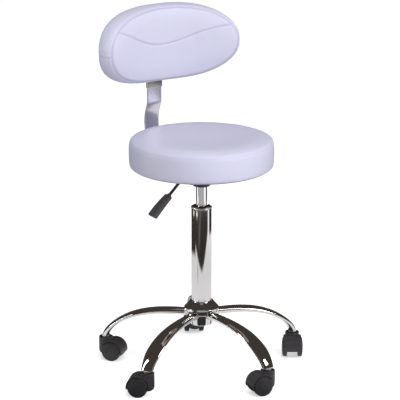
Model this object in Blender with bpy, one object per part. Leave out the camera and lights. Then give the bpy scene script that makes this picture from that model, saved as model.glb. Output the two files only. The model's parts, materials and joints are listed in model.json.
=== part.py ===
"""Pedicure stool: five-star castor base, gas lift, round seat and a height-adjustable back pad.

Units are metres, +Z is up and the floor is z = 0.  The sitter faces -Y and the back pad stands at +Y.
The origin is the middle of the floor area that the stool covers.
"""
import math

import bmesh
import bpy
from mathutils import Matrix, Vector

# ---------------------------------------------------------------- driving dimensions
GAP = 0.0003                      # clearance between two pieces that touch
RUN = 0.0004                      # radial clearance of a piece that turns or slides in another
COLUMN_X = 0.0043                # the column's axis, seen from the middle of the covered floor
COLUMN_Y = -0.0014

# star base
LEG_COUNT = 5
LEG_START = math.radians(62.2)    # heading of leg 1, from +X towards +Y
STEM_RADIUS = 0.250               # column axis to castor stem
LEG_TIP_Z = 0.0625                # underside of a leg where the castor enters it
LEG_HUB_Z = 0.1420                # centre of a leg at the hub
LEG_TIP_POWER = 1.467             # how upright the leg is at its tip: 2 is a quarter ellipse
LEG_BEND_POWER = 2.83             # how late the leg bends down: 2 is a quarter ellipse
LEG_HUB_WIDTH = 0.0265
LEG_HUB_DEPTH = 0.0175
LEG_BEND_WIDTH = 0.0420
LEG_BEND_DEPTH = 0.0130
LEG_TIP_WIDTH = 0.0330
LEG_TIP_DEPTH = 0.0165
HUB_R = 0.0280
HUB_BOTTOM_Z = 0.1140
HUB_TOP_Z = 0.1560
COVER_R = 0.0435
COVER_BAND_TOP_Z = 0.1600
COVER_BAND_BOTTOM_Z = 0.1420
COVER_TOP_Z = 0.1750
COVER_WALL = 0.0012

# column and gas lift
COLUMN_R = 0.0250
COLUMN_WALL = 0.0020
COLUMN_TOP_Z = 0.4196
COLUMN_FLOOR_Z = 0.1200           # underside of the column's inner floor
COLUMN_FLOOR_THICK = 0.0040
BUSH_LENGTH = 0.085
CYLINDER_R = 0.0140
CYLINDER_WALL = 0.0026
CYLINDER_BOTTOM_Z = 0.1900
CYLINDER_TOP_Z = 0.4970
CYLINDER_HEAD = 0.125             # solid head above the gas chamber
PISTON_ROD_R = 0.0050
PISTON_THICK = 0.012
PISTON_TOP_Z = 0.3220
GLAND_HEIGHT = 0.014
BUTTON_R = 0.0035
BUTTON_HEIGHT = 0.0115
BUTTON_PROUD = 0.0060
DAMPER_HEIGHT = 0.014
BEARING_HEIGHT = 0.006
CLIP_R = 0.0095
CLIP_THICK = 0.0016

# castors
WHEEL_R = 0.0250
WHEEL_WIDTH = 0.0135              # along the axle, dome included
WHEEL_DOME = 0.0042
WHEEL_SIDES = 20
CASTOR_HALF_WIDTH = 0.0270
CASTOR_TRAIL = 0.0210             # stem axis to axle, measured flat
# heading of each castor's axle from its stem, as the stool stands
CASTOR_HEADINGS = [math.radians(a) for a in (63.0, 308.0, 138.0, 172.0, 238.0)]
HOOD_TOP_Z = 0.0590
HOOD_BOTTOM_Z = 0.0140
HOOD_NOSE_R = 0.0178
HOOD_HALF_WIDTH = 0.0225
FENDER_R = 0.0288
FENDER_END_Z = 0.0190             # the fender stops here behind the wheels
FENDER_STEPS = 9                  # flats along the fender's arc
WHEEL_AIR = 0.0012                # between wheel and fender
CUP_R = 0.0145
CUP_DEPTH = 0.0030
STEM_R = 0.0055
STEM_BOTTOM_Z = 0.0400
STEM_TOP_R = 0.0040
STEM_DEPTH = 0.0090               # how far the stem goes up into the leg
STEM_FLANGE_R = 0.0090
AXLE_R = 0.0040

# seat
SEAT_R = 0.1800
SEAT_BOTTOM_Z = 0.5190
SEAT_SEAM_Z = 0.5870
SEAT_CROWN_Z = 0.5970
SEAT_SEAM_R = 0.1765
BOARD_R = 0.1650
BOARD_THICK = 0.0120

# plate and lever under the seat
PLATE_HALF_X = 0.080
PLATE_FRONT_Y = -0.080
PLATE_BACK_Y = 0.108
PLATE_THICK = 0.0030
CHEEK_HALF_X = 0.045
CHEEK_THICK = 0.0030
CHEEK_AIR = 0.0005                # between the cylinder's socket and each cheek
CHEEK_BOTTOM_Z = 0.4840
SOCKET_WALL = 0.0060              # round the gas cylinder
SOCKET_BOTTOM_Z = 0.4770
SOCKET_TOP_Z = 0.4955
COLLAR_WIDTH = 0.0090             # from the gas cylinder outwards
COLLAR_BOTTOM_Z = 0.4708
BOLT_R = 0.0030
BOLT_HEAD_R = 0.0062
BOLT_HEAD_HEIGHT = 0.0040
BOLT_DEPTH = 0.0080               # how far a bolt goes into the board
PLATE_BOLT_X = 0.065
PLATE_BOLT_Y = 0.060
LEVER_R = 0.0038
LEVER_PIVOT_X = -0.032
LEVER_INNER_X = 0.006
LEVER_BEND_X = -0.0436
LEVER_GRIP_X = -0.0940
LEVER_END_X = -0.1420
LEVER_DROP = math.radians(44.0)
LEVER_EYE_R = 0.0068
LEVER_BUTTON_AIR = 0.0007
PIVOT_PIN_R = 0.0025
GRIP_START_WIDTH = 0.0240
GRIP_END_WIDTH = 0.0340
GRIP_THICK = 0.0120

# back bar, sleeve and pad
BAR_WIDTH = 0.0400
BAR_THICK = 0.0050
BAR_START_Y = 0.0500
BAR_BOLT_Y = (0.0640, 0.0930)
BAR_KNEE_Y = 0.2325               # the bar turns up behind the seat
BAR_BOW_Y = 0.2415
BAR_BOW_Z = 0.5995
BAR_AIR = 0.0004                  # between the bar's upright end and the sleeve's front wall
BAR_CRANK_Z = 0.6370
BAR_END_Z = 0.8200
SLEEVE_BOTTOM_Z = 0.6760
SLEEVE_HEIGHT = 0.0750
SLEEVE_WALL = 0.0018
FLANGE_HALF_WIDTH = 0.0310
FLANGE_HEIGHT = 0.0850
FLANGE_BOTTOM_Z = 0.7060
PAD_REAR_Y = 0.2205               # rear face of the pad in the middle
PAD_THICK = 0.0595
PAD_HALF_WIDTH = 0.1940
PAD_MID_Z = 0.7949
PAD_RISE = 0.0989
PAD_DROP = 0.1025
PAD_TOP_POWER = 2.16
PAD_BOTTOM_POWER = 2.05
PAD_REAR_POWER = 0.40             # added to both powers at the rear, which is fuller
PAD_LIFT = 0.0092                 # how far the lower edge rises in the middle
PAD_LIFT_SPAN = 0.100
PAD_WRAP_R = 0.3115               # radius that the pad's front is bent round
PAD_REAR_WRAP_R = 0.3880          # radius that its rear is bent round
BACK_BOARD_SCALE = 0.86
BACK_BOARD_THICK = 0.0080
BACK_BOARD_AIR = 0.0012           # between the curved board and the foam in front of it
KNOB_R = 0.0170
KNOB_LENGTH = 0.0180
KNOB_STUD_R = 0.0030

SMALL = 12                        # sides of a small round piece
ROUND = 24                        # sides of a plain round piece
FINE = 32                         # sides of a large round piece

# ---------------------------------------------------------------- sizes that follow
PLATE_TOP_Z = SEAT_BOTTOM_Z - GAP
PLATE_BOTTOM_Z = PLATE_TOP_Z - PLATE_THICK
BUTTON_TOP_Z = CYLINDER_TOP_Z + BUTTON_PROUD
LEVER_Z = BUTTON_TOP_Z + LEVER_BUTTON_AIR + LEVER_R
BAR_SEAT_Z = PLATE_BOTTOM_Z - GAP - BAR_THICK / 2
SLEEVE_FRONT_Y = PAD_REAR_Y + GAP
BAR_FRONT_Y = SLEEVE_FRONT_Y + SLEEVE_WALL + BAR_AIR
BAR_TOP_Y = BAR_FRONT_Y + BAR_THICK / 2    # middle of the upright end that the sleeve slides on
BAR_REAR_Y = BAR_TOP_Y + BAR_THICK / 2
SLEEVE_REAR_Y = BAR_REAR_Y + GAP + SLEEVE_WALL
KNOB_Z = SLEEVE_BOTTOM_Z + SLEEVE_HEIGHT / 2
BUSH_TOP_Z = COLUMN_TOP_Z - 0.0010
SOCKET_R = CYLINDER_R + SOCKET_WALL
COLLAR_R = CYLINDER_R + COLLAR_WIDTH
CHEEK_INNER_Y = SOCKET_R + CHEEK_AIR

MATERIALS = {
    "chrome": ((0.80, 0.80, 0.82), 0.08, 1.0),
    "zinc_steel": ((0.62, 0.62, 0.64), 0.32, 1.0),
    "black_steel": ((0.025, 0.025, 0.028), 0.45, 0.0),
    "black_plastic": ((0.030, 0.029, 0.033), 0.42, 0.0),
    "rubber": ((0.020, 0.020, 0.020), 0.80, 0.0),
    "vinyl": ((0.60, 0.60, 0.78), 0.42, 0.0),
    "plywood": ((0.55, 0.42, 0.27), 0.70, 0.0),
}


# ---------------------------------------------------------------- modelling helpers
def material(name):
    """Return the named Principled material, made once."""
    found = bpy.data.materials.get(name)
    if found:
        return found
    colour, roughness, metallic = MATERIALS[name]
    made = bpy.data.materials.new(name)
    made.use_nodes = True
    shader = made.node_tree.nodes["Principled BSDF"]
    shader.inputs["Base Color"].default_value = (*colour, 1.0)
    shader.inputs["Roughness"].default_value = roughness
    shader.inputs["Metallic"].default_value = metallic
    return made


def add_object(name, verts, faces, finish=None, parent=None):
    """Make an object from points and faces; the faces end up pointing out."""
    mesh = bpy.data.meshes.new(name)
    mesh.from_pydata([tuple(v) for v in verts], [], faces)
    work = bmesh.new()
    work.from_mesh(mesh)
    bmesh.ops.recalc_face_normals(work, faces=work.faces)
    work.to_mesh(mesh)
    work.free()
    mesh.shade_smooth()
    mesh.set_sharp_from_angle(angle=math.radians(35))
    made = bpy.data.objects.new(name, mesh)
    bpy.context.scene.collection.objects.link(made)
    made.parent = parent
    if finish:
        mesh.materials.append(material(finish))
    return made


def loft(name, rings, finish=None, parent=None, closed=False):
    """Skin rings of equal length; a ring of one point is a pole, open ends are capped."""
    verts, starts = [], []
    for ring in rings:
        starts.append(len(verts))
        verts.extend(ring)
    faces = []
    pairs = list(zip(range(len(rings) - 1), range(1, len(rings))))
    if closed:
        pairs.append((len(rings) - 1, 0))
    for a, b in pairs:
        count = max(len(rings[a]), len(rings[b]))
        for i in range(count):
            j = (i + 1) % count
            quad = [starts[a] + i % len(rings[a]), starts[a] + j % len(rings[a]),
                    starts[b] + j % len(rings[b]), starts[b] + i % len(rings[b])]
            faces.append(tuple(dict.fromkeys(quad)))
    if not closed:
        for a in (0, len(rings) - 1):
            if len(rings[a]) > 1:
                faces.append(tuple(starts[a] + i for i in range(len(rings[a]))))
    return add_object(name, verts, faces, finish, parent)


def turned(name, profile, finish=None, parent=None, sides=ROUND, hollow=False, phase=0.0):
    """Turn (radius, height) points about Z; a hollow profile is a closed loop off the axis."""
    rings = []
    for radius, height in profile:
        if radius <= 0.0:
            rings.append([Vector((0.0, 0.0, height))])
            continue
        ring = []
        for i in range(sides):
            angle = phase + 2 * math.pi * i / sides
            ring.append(Vector((radius * math.cos(angle), radius * math.sin(angle), height)))
        rings.append(ring)
    return loft(name, rings, finish, parent, closed=hollow)


def tube(name, inner, outer, low, high, finish=None, parent=None, sides=ROUND):
    """A plain ring or tube."""
    profile = [(inner, low), (outer, low), (outer, high), (inner, high)]
    return turned(name, profile, finish, parent, sides, hollow=True)


def disc(name, radius, low, high, finish=None, parent=None, sides=ROUND):
    """A plain solid cylinder."""
    return turned(name, [(0, low), (radius, low), (radius, high), (0, high)], finish, parent, sides)


def box(name, low, high, finish=None, parent=None):
    """A box between two corners."""
    rings = []
    for z in (low[2], high[2]):
        rings.append([Vector((low[0], low[1], z)), Vector((high[0], low[1], z)),
                      Vector((high[0], high[1], z)), Vector((low[0], high[1], z))])
    return loft(name, rings, finish, parent)


def combine(target, other, operation):
    """Boolean another object into the target; the other one stays as a hidden guide."""
    other.hide_render = True
    other.display_type = "WIRE"
    other.parent = target.parent
    change = target.modifiers.new(other.name, "BOOLEAN")
    change.operation = operation
    change.solver = "EXACT"
    change.object = other


def cut(target, other):
    combine(target, other, "DIFFERENCE")


def fuse(target, other):
    combine(target, other, "UNION")


def along(obj, direction, centre):
    """Turn an object made about +Z so that it points along a direction from a centre."""
    turn = Vector((0, 0, 1)).rotation_difference(Vector(direction))
    obj.data.transform(Matrix.Translation(Vector(centre)) @ turn.to_matrix().to_4x4())
    return obj


def hole(target, name, radius, direction, start, length, sides=ROUND):
    """Cut a round hole from a start point along a direction."""
    drill = turned(name, [(0, 0), (radius, 0), (radius, length), (0, length)], sides=sides)
    cut(target, along(drill, direction, start))


def rounded_path(corners, radii, steps=6):
    """Points of a polyline whose inner corners are rounded by arcs of the given radii."""
    points = [Vector(corners[0])]
    for before, corner, after, radius in zip(corners, corners[1:], corners[2:], radii):
        corner = Vector(corner)
        back = (Vector(before) - corner).normalized()
        ahead = (Vector(after) - corner).normalized()
        half = back.angle(ahead) / 2
        centre = corner + (back + ahead).normalized() * (radius / math.sin(half))
        start = corner + back * (radius / math.tan(half)) - centre
        end = corner + ahead * (radius / math.tan(half)) - centre
        for i in range(steps + 1):
            points.append(centre + start.lerp(end, i / steps).normalized() * radius)
    points.append(Vector(corners[-1]))
    return points


def swept(name, path, side, half_side, half_depth, finish=None, parent=None, corner=0.0008):
    """Sweep a chamfered bar section along a path; half sizes may be numbers or one per point."""
    rings = []
    for i, point in enumerate(path):
        tangent = (path[min(i + 1, len(path) - 1)] - path[max(i - 1, 0)]).normalized()
        depth = tangent.cross(side).normalized()
        a = half_side[i] if isinstance(half_side, list) else half_side
        b = half_depth[i] if isinstance(half_depth, list) else half_depth
        section = [(a, b - corner), (a - corner, b), (corner - a, b), (-a, b - corner),
                   (-a, corner - b), (corner - a, -b), (a - corner, -b), (a, corner - b)]
        rings.append([point + side * u + depth * v for u, v in section])
    return loft(name, rings, finish, parent)


def rod(name, path, side, radius, finish=None, parent=None, sides=12):
    """Sweep a round section along a path in the plane square to side."""
    rings = []
    for i, point in enumerate(path):
        tangent = (path[min(i + 1, len(path) - 1)] - path[max(i - 1, 0)]).normalized()
        depth = tangent.cross(side).normalized()
        ring = []
        for k in range(sides):
            angle = 2 * math.pi * k / sides
            ring.append(point + (side * math.cos(angle) + depth * math.sin(angle)) * radius)
        rings.append(ring)
    return loft(name, rings, finish, parent)


def empty(name, location, heading=0.0, parent=None):
    """An empty that carries a group of pieces on its joint axis."""
    made = bpy.data.objects.new(name, None)
    made.empty_display_size = 0.03
    bpy.context.scene.collection.objects.link(made)
    made.location = location
    made.rotation_euler = (0, 0, heading)
    made.parent = parent
    return made


# ---------------------------------------------------------------- star base
def leg_centre(radius):
    """Centre of a leg at a distance from the column: level at the hub, upright at the tip."""
    share = min(max((radius - HUB_R) / (STEM_RADIUS - HUB_R), 0.0), 1.0)
    fall = 1.0 - (1.0 - share ** LEG_BEND_POWER) ** (1.0 / LEG_TIP_POWER)
    return LEG_HUB_Z - (LEG_HUB_Z - LEG_TIP_Z) * fall


def leg_section(share):
    """Width and depth of the flattened leg tube, by share of its length."""
    bulge = math.sin(math.pi * min(share / 0.78, 1.0) / 2) ** 2
    width = LEG_HUB_WIDTH + (LEG_BEND_WIDTH - LEG_HUB_WIDTH) * bulge
    depth = LEG_HUB_DEPTH + (LEG_BEND_DEPTH - LEG_HUB_DEPTH) * bulge
    if share > 0.78:
        close = (share - 0.78) / 0.22
        ease = close * close * (3 - 2 * close)
        width += (LEG_TIP_WIDTH - LEG_BEND_WIDTH) * ease
        depth += (LEG_TIP_DEPTH - LEG_BEND_DEPTH) * ease
    return width, depth


def build_leg(index, parent):
    """One bent, flattened tube from the hub wall down to the castor, with the stem's bore."""
    heading = LEG_START + 2 * math.pi * index / LEG_COUNT
    carrier = empty(f"leg_{index + 1}_heading", (0, 0, 0), heading, parent)
    stations, sides = 12, 14
    start = HUB_R + GAP
    radii = []
    for i in range(stations + 1):
        radii.append(start + (STEM_RADIUS - start) * math.sin(math.pi / 2 * i / stations))
    points = [Vector((r, 0, leg_centre(r))) for r in radii]
    points[-1].z = LEG_TIP_Z
    lengths = [0.0]
    for a, b in zip(points, points[1:]):
        lengths.append(lengths[-1] + (b - a).length)
    rings = []
    for i, point in enumerate(points):
        ahead = points[min(i + 1, stations)] - points[max(i - 1, 0)]
        tangent = ahead.normalized()
        if i == 0:
            tangent = Vector((1, 0, 0))
        if i == stations:
            tangent = Vector((0, 0, -1))
        normal = Vector((-tangent.z, 0, tangent.x))
        width, depth = leg_section(lengths[i] / lengths[-1])
        ring = []
        for k in range(sides):
            angle = 2 * math.pi * k / sides
            across = width / 2 * math.copysign(abs(math.cos(angle)) ** 0.80, math.cos(angle))
            up = depth / 2 * math.copysign(abs(math.sin(angle)) ** 0.80, math.sin(angle))
            ring.append(point + Vector((0, across, 0)) + normal * up)
        rings.append(ring)
    leg = loft(f"leg_{index + 1}", rings, "chrome", carrier)
    below = 0.002
    hole(leg, f"leg_{index + 1}_bore", STEM_TOP_R + GAP, (0, 0, 1),
         (STEM_RADIUS, 0, LEG_TIP_Z - below), below + STEM_DEPTH + GAP, SMALL)
    return leg


def build_base(parent):
    """Hub tube, cover, legs and the column with its guide bush and bottom bearing."""
    tube("hub_tube", COLUMN_R + GAP, HUB_R, HUB_BOTTOM_Z, HUB_TOP_Z, "chrome", parent, FINE)

    outer = [(COLUMN_R + GAP + 0.0004, COVER_TOP_Z), (COLUMN_R + 0.004, COVER_TOP_Z - 0.0008),
             (COVER_R - 0.0015, COVER_BAND_TOP_Z), (COVER_R, COVER_BAND_TOP_Z - 0.0020),
             (COVER_R, COVER_BAND_BOTTOM_Z)]
    inner = [(COVER_R - COVER_WALL, COVER_BAND_BOTTOM_Z),
             (COVER_R - COVER_WALL, COVER_BAND_TOP_Z - 0.0025),
             (COVER_R - 0.0027, COVER_BAND_TOP_Z - COVER_WALL),
             (COLUMN_R + GAP + 0.0004, COVER_TOP_Z - COVER_WALL - 0.0010)]
    cover = turned("hub_cover", outer + inner, "chrome", parent, 40, hollow=True)
    for i in range(LEG_COUNT):
        heading = LEG_START + 2 * math.pi * i / LEG_COUNT
        arch_width = LEG_HUB_WIDTH / 2 + 0.0022
        arch_height = LEG_HUB_DEPTH / 2 + 0.0012
        direction = Vector((math.cos(heading), math.sin(heading), 0))
        arch = turned(f"hub_cover_arch_{i + 1}", [(0, 0), (1, 0), (1, 0.03), (0, 0.03)], sides=16)
        arch.data.transform(Matrix.Diagonal((arch_height, arch_width, 1, 1)))
        arch.data.transform(Matrix.Rotation(math.radians(90), 4, "Y"))
        arch.data.transform(Matrix.Rotation(heading, 4, "Z"))
        arch.data.transform(Matrix.Translation(direction * 0.030 + Vector((0, 0, LEG_HUB_Z))))
        cut(cover, arch)

    for i in range(LEG_COUNT):
        build_leg(i, parent)

    floor_top = COLUMN_FLOOR_Z + COLUMN_FLOOR_THICK
    inside = COLUMN_R - COLUMN_WALL
    profile = [(PISTON_ROD_R + GAP, COLUMN_FLOOR_Z), (COLUMN_R, COLUMN_FLOOR_Z),
               (COLUMN_R, COLUMN_TOP_Z - 0.0045),
               (COLUMN_R + 0.0005, COLUMN_TOP_Z - 0.0035), (COLUMN_R + 0.0005, COLUMN_TOP_Z - 0.0008),
               (COLUMN_R - 0.0002, COLUMN_TOP_Z), (inside, COLUMN_TOP_Z), (inside, floor_top),
               (PISTON_ROD_R + GAP, floor_top)]
    turned("column_tube", profile, "chrome", parent, FINE, hollow=True)
    tube("guide_bush", CYLINDER_R + RUN, inside - GAP, BUSH_TOP_Z - BUSH_LENGTH, BUSH_TOP_Z,
         "black_plastic", parent, FINE)

    bearing_low = floor_top + GAP
    tube("thrust_bearing", PISTON_ROD_R + GAP, 0.0130, bearing_low, bearing_low + BEARING_HEIGHT,
         "zinc_steel", parent)
    damper_low = bearing_low + BEARING_HEIGHT + GAP
    tube("rubber_damper", PISTON_ROD_R + GAP, 0.0150, damper_low, damper_low + DAMPER_HEIGHT,
         "rubber", parent)


# ---------------------------------------------------------------- castors
def build_hood(name, parent):
    """The castor's housing: nose round the stem, web between the wheels, fender over them."""
    axle_x, axle_z = CASTOR_TRAIL, WHEEL_R
    outline = []
    fender_start = math.radians(118)
    fender_end = -math.asin((axle_z - FENDER_END_Z) / FENDER_R)
    for i in range(FENDER_STEPS + 1):
        angle = fender_start + (fender_end - fender_start) * i / FENDER_STEPS
        outline.append((axle_x + FENDER_R * math.cos(angle), axle_z + FENDER_R * math.sin(angle)))
    outline.append((axle_x, FENDER_END_Z))
    outline.append((0.0, HOOD_BOTTOM_Z))
    outline.append((0.0, outline[0][1]))
    rings = []
    for y in (-HOOD_HALF_WIDTH, HOOD_HALF_WIDTH):
        rings.append([Vector((x, y, z)) for x, z in outline])
    hood = loft(name, rings, "black_plastic", parent)

    nose_profile = [(0, HOOD_BOTTOM_Z), (HOOD_NOSE_R - 0.006, HOOD_BOTTOM_Z),
                    (HOOD_NOSE_R - 0.0018, HOOD_BOTTOM_Z + 0.0030),
                    (HOOD_NOSE_R, HOOD_BOTTOM_Z + 0.0085), (HOOD_NOSE_R, HOOD_TOP_Z - 0.0010),
                    (HOOD_NOSE_R - 0.0010, HOOD_TOP_Z), (CUP_R, HOOD_TOP_Z),
                    (CUP_R - 0.0010, HOOD_TOP_Z - CUP_DEPTH), (0, HOOD_TOP_Z - CUP_DEPTH)]
    fuse(hood, turned(name + "_nose", nose_profile, sides=16))
    web = WHEEL_R + WHEEL_AIR
    pocket_start = CASTOR_HALF_WIDTH - WHEEL_WIDTH - GAP
    for side, label in ((1, "left"), (-1, "right")):
        pocket = turned(f"{name}_pocket_{label}", [(0, 0), (web, 0), (web, 0.03), (0, 0.03)], sides=16)
        cut(hood, along(pocket, (0, side, 0), (axle_x, side * pocket_start, axle_z)))
    hole(hood, name + "_stem_bore", STEM_R + RUN, (0, 0, 1), (0, 0, STEM_BOTTOM_Z - 0.001), 0.03, SMALL)
    hole(hood, name + "_axle_bore", AXLE_R + GAP, (0, 1, 0), (axle_x, -0.03, axle_z), 0.06, SMALL)
    return hood


def build_wheel(name, side, parent):
    """One wheel with a convex outer face; a flat side of its tread rests on the floor."""
    corner = 1.0 / math.cos(math.pi / WHEEL_SIDES)
    inner = CASTOR_HALF_WIDTH - WHEEL_WIDTH
    outer = CASTOR_HALF_WIDTH
    rim = outer - WHEEL_DOME
    radius = WHEEL_R * corner
    bore_end = outer - 0.0060
    profile = [(0, bore_end), (AXLE_R + RUN, bore_end), (AXLE_R + RUN, inner), (radius, inner),
               (radius, rim), (radius * 0.80, outer - 0.0011), (0, outer)]
    wheel = turned(name, profile, "black_plastic", parent, WHEEL_SIDES, phase=math.pi / WHEEL_SIDES)
    return along(wheel, (0, side, 0), (0, 0, 0))


def build_castor(index, parent):
    """Stem, hood, axle and two wheels, set at the castor's heading."""
    label = f"castor_{index + 1}"
    heading = LEG_START + 2 * math.pi * index / LEG_COUNT
    place = (STEM_RADIUS * math.cos(heading), STEM_RADIUS * math.sin(heading), 0)
    swivel = empty(label + "_swivel", place, CASTOR_HEADINGS[index], parent)
    flange_low = HOOD_TOP_Z - CUP_DEPTH + GAP
    stem = [(0, STEM_BOTTOM_Z), (STEM_R, STEM_BOTTOM_Z),
            (STEM_R, flange_low), (STEM_FLANGE_R, flange_low), (STEM_FLANGE_R, LEG_TIP_Z - GAP),
            (STEM_TOP_R, LEG_TIP_Z - GAP), (STEM_TOP_R, LEG_TIP_Z + STEM_DEPTH),
            (0, LEG_TIP_Z + STEM_DEPTH)]
    turned(label + "_stem", stem, "zinc_steel", swivel, SMALL)
    build_hood(label + "_hood", swivel)
    hub = empty(label + "_axle_line", (CASTOR_TRAIL, 0, WHEEL_R), 0, swivel)
    reach = CASTOR_HALF_WIDTH - 0.0060 - GAP
    axle = disc(label + "_axle", AXLE_R, -reach, reach, "zinc_steel", hub, SMALL)
    along(axle, (0, 1, 0), (0, 0, 0))
    build_wheel(label + "_wheel_left", 1, hub)
    build_wheel(label + "_wheel_right", -1, hub)


# ---------------------------------------------------------------- gas lift
def build_gas_lift(parent):
    """Piston rod held in the column's floor; the cylinder rides up and down on it."""
    clip_top = COLUMN_FLOOR_Z - GAP
    clip_low = clip_top - CLIP_THICK
    rod_low = clip_low - 0.0040
    piston_low = PISTON_TOP_Z - PISTON_THICK
    neck = PISTON_ROD_R - 0.0010
    profile = [(0, rod_low), (PISTON_ROD_R, rod_low), (PISTON_ROD_R, clip_low - GAP),
               (neck, clip_low - GAP), (neck, clip_top + GAP),
               (PISTON_ROD_R, clip_top + GAP), (PISTON_ROD_R, piston_low - 0.0040),
               (neck, piston_low - 0.0040), (neck, PISTON_TOP_Z + 0.0030), (0, PISTON_TOP_Z + 0.0030)]
    turned("piston_rod", profile, "zinc_steel", parent)
    tube("retaining_clip", neck + GAP, CLIP_R, clip_low, clip_top, "zinc_steel", parent, ROUND)
    chamber = CYLINDER_R - CYLINDER_WALL
    tube("piston", neck + GAP, chamber - RUN, piston_low, PISTON_TOP_Z, "black_plastic", parent)


def build_cylinder(parent):
    """The lift's chromed cylinder, its lower gland and the valve button in its top."""
    chamber = CYLINDER_R - CYLINDER_WALL
    head_low = CYLINDER_TOP_Z - CYLINDER_HEAD
    pin_low = BUTTON_TOP_Z - BUTTON_HEIGHT
    seat = pin_low - 0.0050
    profile = [(0, head_low), (chamber, head_low), (chamber, CYLINDER_BOTTOM_Z),
               (CYLINDER_R, CYLINDER_BOTTOM_Z), (CYLINDER_R, CYLINDER_TOP_Z - 0.0015),
               (CYLINDER_R - 0.0015, CYLINDER_TOP_Z), (BUTTON_R + GAP, CYLINDER_TOP_Z),
               (BUTTON_R + GAP, seat), (0, seat)]
    turned("gas_cylinder", profile, "chrome", parent, ROUND)
    gland_low = CYLINDER_BOTTOM_Z + 0.0010
    tube("cylinder_gland", PISTON_ROD_R + RUN, chamber - GAP, gland_low, gland_low + GLAND_HEIGHT,
         "black_plastic", parent)
    disc("valve_button", BUTTON_R, pin_low, BUTTON_TOP_Z, "zinc_steel", parent, SMALL)


# ---------------------------------------------------------------- seat
def bolt_places():
    """Flat places of the plate's four bolts, then of the back bar's two."""
    corners = []
    for x in (-PLATE_BOLT_X, PLATE_BOLT_X):
        for y in (-PLATE_BOLT_Y, PLATE_BOLT_Y):
            corners.append((x, y))
    return corners, [(0.0, y) for y in BAR_BOLT_Y]


def build_bolt(name, x, y, head_top, parent):
    """A cap bolt that comes up from below into the seat board."""
    top = SEAT_BOTTOM_Z + GAP + BOLT_DEPTH
    low = head_top - BOLT_HEAD_HEIGHT
    profile = [(0, low), (BOLT_HEAD_R, low), (BOLT_HEAD_R, head_top), (BOLT_R, head_top), (BOLT_R, top),
               (0, top)]
    along(turned(name, profile, "zinc_steel", parent, SMALL), (0, 0, 1), (x, y, 0))


def build_plate(parent):
    """Pressed seat plate with two cheeks, the cylinder's socket, and the lever's pivot holes."""
    plate = box("seat_plate", (-PLATE_HALF_X, PLATE_FRONT_Y, PLATE_BOTTOM_Z),
                (PLATE_HALF_X, PLATE_BACK_Y, PLATE_TOP_Z), "black_steel", parent)
    for side in (-1, 1):
        low_y, high_y = sorted((side * CHEEK_INNER_Y, side * (CHEEK_INNER_Y + CHEEK_THICK)))
        cheek = box(f"seat_plate_cheek_{side}", (-CHEEK_HALF_X, low_y, CHEEK_BOTTOM_Z),
                    (CHEEK_HALF_X, high_y, PLATE_BOTTOM_Z + 0.001))
        fuse(plate, cheek)
    web_end = CHEEK_INNER_Y + CHEEK_THICK / 2
    web = box("seat_plate_web", (-CHEEK_HALF_X, -web_end, CHEEK_BOTTOM_Z),
              (CHEEK_HALF_X, web_end, CHEEK_BOTTOM_Z + CHEEK_THICK))
    fuse(plate, web)
    socket = turned("seat_plate_socket", [(0, SOCKET_BOTTOM_Z), (SOCKET_R, SOCKET_BOTTOM_Z),
                                          (SOCKET_R, SOCKET_TOP_Z), (0, SOCKET_TOP_Z)])
    fuse(plate, socket)
    up = Vector((0, 0, 1))
    hole(plate, "seat_plate_socket_bore", CYLINDER_R + GAP, up, (0, 0, SOCKET_BOTTOM_Z - 0.002), 0.030)
    hole(plate, "seat_plate_pivot_bore", PIVOT_PIN_R + GAP, (0, 1, 0),
         (LEVER_PIVOT_X, -0.04, LEVER_Z), 0.08, SMALL)
    corners, rear = bolt_places()
    for i, (x, y) in enumerate(corners + rear):
        hole(plate, f"seat_plate_bolt_hole_{i + 1}", BOLT_R + GAP, up,
             (x, y, PLATE_BOTTOM_Z - 0.002), 0.010, SMALL)
    collar_top = SOCKET_BOTTOM_Z - GAP
    tube("dust_collar", CYLINDER_R + GAP, COLLAR_R, COLLAR_BOTTOM_Z, collar_top, "black_plastic", parent)
    for i, (x, y) in enumerate(corners):
        build_bolt(f"plate_bolt_{i + 1}", x, y, PLATE_BOTTOM_Z - GAP, parent)


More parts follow.
